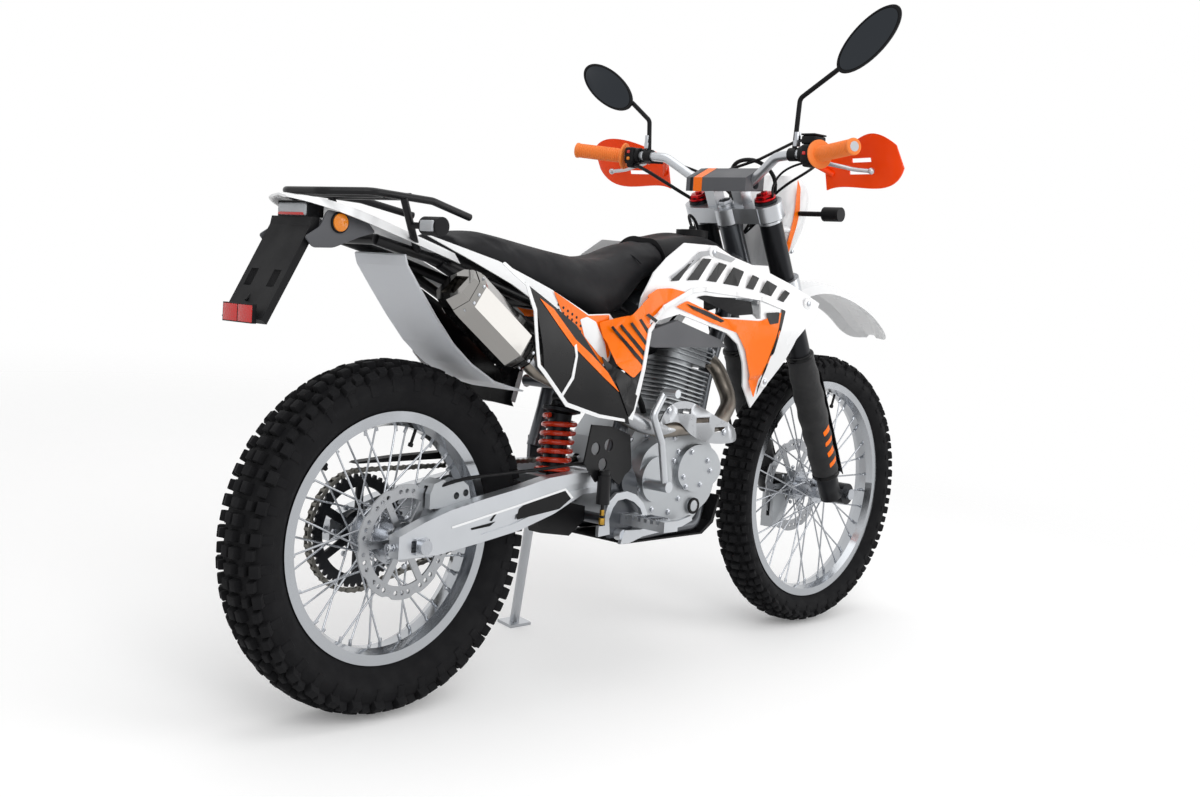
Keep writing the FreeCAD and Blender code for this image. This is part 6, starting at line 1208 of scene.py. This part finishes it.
ARM_BLACK = [(250, 392), (262, 399), (381, 421), (399, 404), (365, 384), (246, 371)]
ARM_WHITE = [(74, 371), (240, 400), (380, 426), (405, 405), (399, 402), (379, 421), (242, 396), (76, 367)]
ADJUSTER_Y, AXLE_Z = 104, 340
ARM_SCREWS, MASK_SCREWS = ((330, 440), (180, 432)), ((1150, 950), (1140, 1100))
MASK_EDGE = [(1116, 968), (1128, 944), (1152, 1104), (1140, 1122)]
ARM_SMALL = ([(172, 375), (186, 388), (191, 388), (178, 373)], [(124, 364), (188, 372), (174, 364), (126, 360)])


def arm_trim():
    """Films on the swingarm, chain adjusters, and screws of the swingarm and the lamp mask."""
    for side, tag in SIDES:
        for kind, name, outlines, out in (("black_film", "arm_black_", (ARM_BLACK, *ARM_SMALL), 118.5),
                                          ("white_abs", "arm_white_", (ARM_WHITE,), 118.8)):
            build(name + tag, kind, *[(plate(outline, 0.5, 1.5), move(0, side * out, 0)) for outline in outlines])
        build("chain_adjuster_" + tag, "fastener_zinc", *[
            (part, move(x, side * ADJUSTER_Y, AXLE_Z) @ turn(90, "Y"))
            for part, x in ((drum(5, 26, 1, 20), -58), (drum(8.4, 7, 1, 6), -66), (drum(8.0, 5, 1, 6), -55))])
    screws("arm_screws", "swingarm", 1, ARM_SCREWS, 4.5)
    for side, tag in SIDES:
        screws("mask_screws_" + tag, "headlamp_mask", side, MASK_SCREWS, 4.5, "steering")


def mask_trim():
    """The orange film along both edges of the lamp mask."""
    for side, tag in SIDES:
        film("mask_edge_" + tag, [target("headlamp_mask")], MASK_EDGE, side, "orange_film", 2, 0.4, 0.3,
             body="steering")


# Stage

def floor_paint():
    # matt white studio paper that fades into the white backdrop
    material = bpy.data.materials.new("studio_paper")
    material.use_nodes = True
    tree = material.node_tree
    tree.nodes.clear()
    where = add(tree, "ShaderNodeTexCoord").outputs["Object"]
    far = add(tree, "ShaderNodeVectorMath", {0: where}, operation="LENGTH")
    fade = add(tree, "ShaderNodeMapRange", {"Value": far.outputs["Value"], "From Min": 1.7, "From Max": 3.4,
                                            "To Min": 0.0, "To Max": 1.0}, interpolation_type="SMOOTHSTEP")
    paper = add(tree, "ShaderNodeBsdfDiffuse", {"Color": (0.9, 0.9, 0.9, 1.0)})
    seen = add(tree, "ShaderNodeLightPath").outputs["Is Camera Ray"]
    glow = add(tree, "ShaderNodeMath", {0: seen, 1: 0.14}, operation="MULTIPLY")
    lift = add(tree, "ShaderNodeEmission", {"Strength": glow.outputs[0]})
    paper_lift = add(tree, "ShaderNodeAddShader", {0: paper.outputs[0], 1: lift.outputs[0]})
    clear = add(tree, "ShaderNodeBsdfTransparent")
    mix = add(tree, "ShaderNodeMixShader", {"Fac": fade.outputs["Result"], 1: paper_lift.outputs[0],
                                            2: clear.outputs["BSDF"]})
    add(tree, "ShaderNodeOutputMaterial", {"Surface": mix.outputs["Shader"]})
    return material


FLOOR_CENTRE = (0.65, 0.0, 0.0)
# Each light: its name, its watts, its width in metres, its spot and what it looks at
LIGHTS = (("key_light", 70, 3.0, (-1.6, -3.0, 3.4), (0.6, 0, 0.6)),
          ("top_light", 45, 3.4, (0.8, 0.4, 4.0), (0.6, 0, 0.5)),
          ("front_light", 35, 2.4, (3.6, -2.6, 2.0), (1.0, 0, 0.6)))
BACKDROP_GLOW = 0.62
# The photograph's camera: its spot beside the upright bike in mm, its yaw, pitch and roll, and its lens in mm
CAMERA_SPOT = (-1799.9, -2194.2, 859.5)
CAMERA_TURNS = (42.49, -4.67, 3.69)
CAMERA_LENS = 44.61


def studio():
    """Floor, soft lights, the white backdrop and the camera of the photograph."""
    bm = bmesh.new()
    bmesh.ops.create_circle(bm, cap_ends=True, segments=96, radius=settings().floor_radius)
    mesh = bpy.data.meshes.new("floor")
    bm.to_mesh(mesh)
    bm.free()
    mesh.materials.append(floor_paint())
    floor = linked("floor", mesh)
    floor.location = FLOOR_CENTRE
    for name, energy, size, spot, aim in LIGHTS:
        lamp = bpy.data.lights.new(name, "AREA")
        lamp.energy = energy * settings().light_level
        lamp.size = size
        obj = linked(name, lamp)
        obj.location = spot
        obj.rotation_euler = (Vector(aim) - Vector(spot)).to_track_quat("-Z", "Y").to_euler()
    world = bpy.data.worlds.new("white_backdrop")
    world.use_nodes = True
    tree = world.node_tree
    tree.nodes.clear()
    rays = add(tree, "ShaderNodeLightPath")
    seen = add(tree, "ShaderNodeMath", {0: rays.outputs["Is Camera Ray"], 1: rays.outputs["Is Glossy Ray"]},
               operation="MAXIMUM")
    seen = add(tree, "ShaderNodeMath", {0: seen.outputs[0], 1: rays.outputs["Is Transmission Ray"]},
               operation="MAXIMUM")
    soft = add(tree, "ShaderNodeBackground", {"Color": (1.0, 1.0, 1.0, 1.0), "Strength": BACKDROP_GLOW})
    white = add(tree, "ShaderNodeBackground", {"Color": (1.0, 1.0, 1.0, 1.0), "Strength": 1.0})
    mix = add(tree, "ShaderNodeMixShader", {"Fac": seen.outputs[0], 1: soft.outputs[0], 2: white.outputs[0]})
    add(tree, "ShaderNodeOutputWorld", {"Surface": mix.outputs[0]})
    bpy.context.scene.world = world
    yaw, pitch, roll = (math.radians(a) for a in CAMERA_TURNS)
    ahead = Vector((math.cos(yaw) * math.cos(pitch), math.sin(yaw) * math.cos(pitch), math.sin(pitch)))
    across = Vector((math.sin(yaw), -math.cos(yaw), 0))
    above = across.cross(ahead)
    right = across * math.cos(roll) + above * math.sin(roll)
    up = above * math.cos(roll) - across * math.sin(roll)
    camera = bpy.data.cameras.new("photo_camera")
    camera.sensor_width = 36.0
    camera.sensor_fit = "HORIZONTAL"
    camera.lens = CAMERA_LENS
    obj = linked("photo_camera", camera)
    turned = Matrix((right, up, -ahead)).transposed().to_4x4()
    obj.matrix_world = UPRIGHT @ move(*CAMERA_SPOT) @ turned
    bpy.context.scene.camera = obj
    bpy.context.scene.view_settings.view_transform = "Standard"


# The add-on

def settings():
    return bpy.context.scene.enduro


class EnduroSettings(bpy.types.PropertyGroup):
    """What a user would change first."""
    white: FloatVectorProperty(name="Panels", description="Colour of the white panels", subtype="COLOR",
                               size=3, min=0, max=1, default=linear("#EDEEEF")[:3])
    orange: FloatVectorProperty(name="Graphics", description="Colour of the bright printed film", subtype="COLOR",
                                size=3, min=0, max=1, default=linear("#FF7400")[:3])
    guards: FloatVectorProperty(name="Hand guards", description="Colour of the hand guards", subtype="COLOR",
                                size=3, min=0, max=1, default=linear("#FF4802")[:3])
    grips: FloatVectorProperty(name="Grips", description="Colour of the grips", subtype="COLOR",
                               size=3, min=0, max=1, default=linear("#F2802F")[:3])
    spring: FloatVectorProperty(name="Spring", description="Colour of the shock spring", subtype="COLOR",
                                size=3, min=0, max=1, default=linear("#E0360F")[:3])
    links: IntProperty(name="Chain joints", description="Joints in the chain, an even number", default=110, min=60,
                       max=160)
    rear_rows: IntProperty(name="Rear tread rows", description="Rows of blocks round the rear tyre", default=36,
                           min=12, max=60)
    front_rows: IntProperty(name="Front tread rows", description="Rows of blocks round the front tyre", default=40,
                            min=12, max=60)
    floor_radius: FloatProperty(name="Floor", description="Radius of the studio floor", default=4.0, min=2.0,
                                max=12.0, unit="LENGTH")
    light_level: FloatProperty(name="Light", description="Brightness of the studio lights", default=1.0, min=0.0,
                               max=4.0, subtype="FACTOR")


class Steps:
    """Runs the jobs of an operator in order."""

    def execute(self, context):
        for job in self.jobs:
            job()
        return {"FINISHED"}


class ENDURO_OT_finishes(Steps, bpy.types.Operator):
    """Gives the frame's parts their finished surfaces"""
    bl_idname = "enduro.finishes"
    bl_label = "Finishes"
    jobs = (dress_nodes,)


class ENDURO_OT_tyres(Steps, bpy.types.Operator):
    """Replaces both tyres by a turned carcass with its tread blocks"""
    bl_idname = "enduro.tyres"
    bl_label = "Tyres"
    jobs = (tyres,)


class ENDURO_OT_wheel_trim(Steps, bpy.types.Operator):
    """Adds nipples, screws, valves and rim locks to the wheels"""
    bl_idname = "enduro.wheel_trim"
    bl_label = "Wheel trim"
    jobs = (wheel_trim,)


class ENDURO_OT_chain(Steps, bpy.types.Operator):
    """Replaces the drive chain link by link"""
    bl_idname = "enduro.chain"
    bl_label = "Chain"
    jobs = (chain,)


class ENDURO_OT_shock(Steps, bpy.types.Operator):
    """Replaces the shock absorber by a damper and its wound spring"""
    bl_idname = "enduro.shock"
    bl_label = "Shock absorber"
    jobs = (shock,)


class ENDURO_OT_seat(Steps, bpy.types.Operator):
    """Replaces the seat by its padded cover"""
    bl_idname = "enduro.seat"
    bl_label = "Seat"
    jobs = (seat_cover,)


class ENDURO_OT_graphics(Steps, bpy.types.Operator):
    """Lays the printed films on the panels and adds their bosses"""
    bl_idname = "enduro.graphics"
    bl_label = "Graphics"
    jobs = (side_graphics, pad_stripes)


class ENDURO_OT_engine(Steps, bpy.types.Operator):
    """Adds screws, glass, plug and hoses to the engine and the exhaust"""
    bl_idname = "enduro.engine"
    bl_label = "Engine and exhaust"
    jobs = (engine_trim, exhaust_trim, control_trim)


class ENDURO_OT_cockpit(Steps, bpy.types.Operator):
    """Makes grips, switches, levers, mirrors, clamps and cables at the bars"""
    bl_idname = "enduro.cockpit"
    bl_label = "Cockpit"
    jobs = (grips, switches, mirror_trim, clamp_trim, cables, mask_trim)


class ENDURO_OT_lights(Steps, bpy.types.Operator):
    """Adds lamp glasses, lenses and reflectors"""
    bl_idname = "enduro.lights"
    bl_label = "Lights"
    jobs = (front_lights, rear_lights)


class ENDURO_OT_chassis(Steps, bpy.types.Operator):
    """Adds the trim of the fork, the swingarm and the panels"""
    bl_idname = "enduro.chassis"
    bl_label = "Fork, swingarm and panels"
    jobs = (fork_trim, arm_trim)


class ENDURO_OT_studio(Steps, bpy.types.Operator):
    """Sets the floor, the lights, the backdrop and the camera"""
    bl_idname = "enduro.studio"
    bl_label = "Studio"
    jobs = (studio,)


OPERATORS = (ENDURO_OT_finishes, ENDURO_OT_tyres, ENDURO_OT_wheel_trim, ENDURO_OT_chain, ENDURO_OT_shock,
             ENDURO_OT_seat, ENDURO_OT_graphics, ENDURO_OT_engine, ENDURO_OT_cockpit, ENDURO_OT_lights,
             ENDURO_OT_chassis, ENDURO_OT_studio)


class ENDURO_PT_panel(bpy.types.Panel):
    """Lists the steps in the order in which they are run"""
    bl_idname = "ENDURO_PT_panel"
    bl_label = "Enduro"
    bl_space_type = "VIEW_3D"
    bl_region_type = "UI"
    bl_category = "Enduro"

    def draw(self, context):
        for field in EnduroSettings.__annotations__:
            self.layout.prop(context.scene.enduro, field)
        for operator in OPERATORS:
            self.layout.operator(operator.bl_idname)


CLASSES = (EnduroSettings, *OPERATORS, ENDURO_PT_panel)


def register():
    for cls in CLASSES:
        bpy.utils.register_class(cls)
    bpy.types.Scene.enduro = PointerProperty(type=EnduroSettings)


def unregister():
    del bpy.types.Scene.enduro
    for cls in reversed(CLASSES):
        bpy.utils.unregister_class(cls)


def main():
    register()
    for operator in OPERATORS:
        group, name = operator.bl_idname.split(".")
        getattr(getattr(bpy.ops, group), name)()


if __name__ == "__main__":
    main()
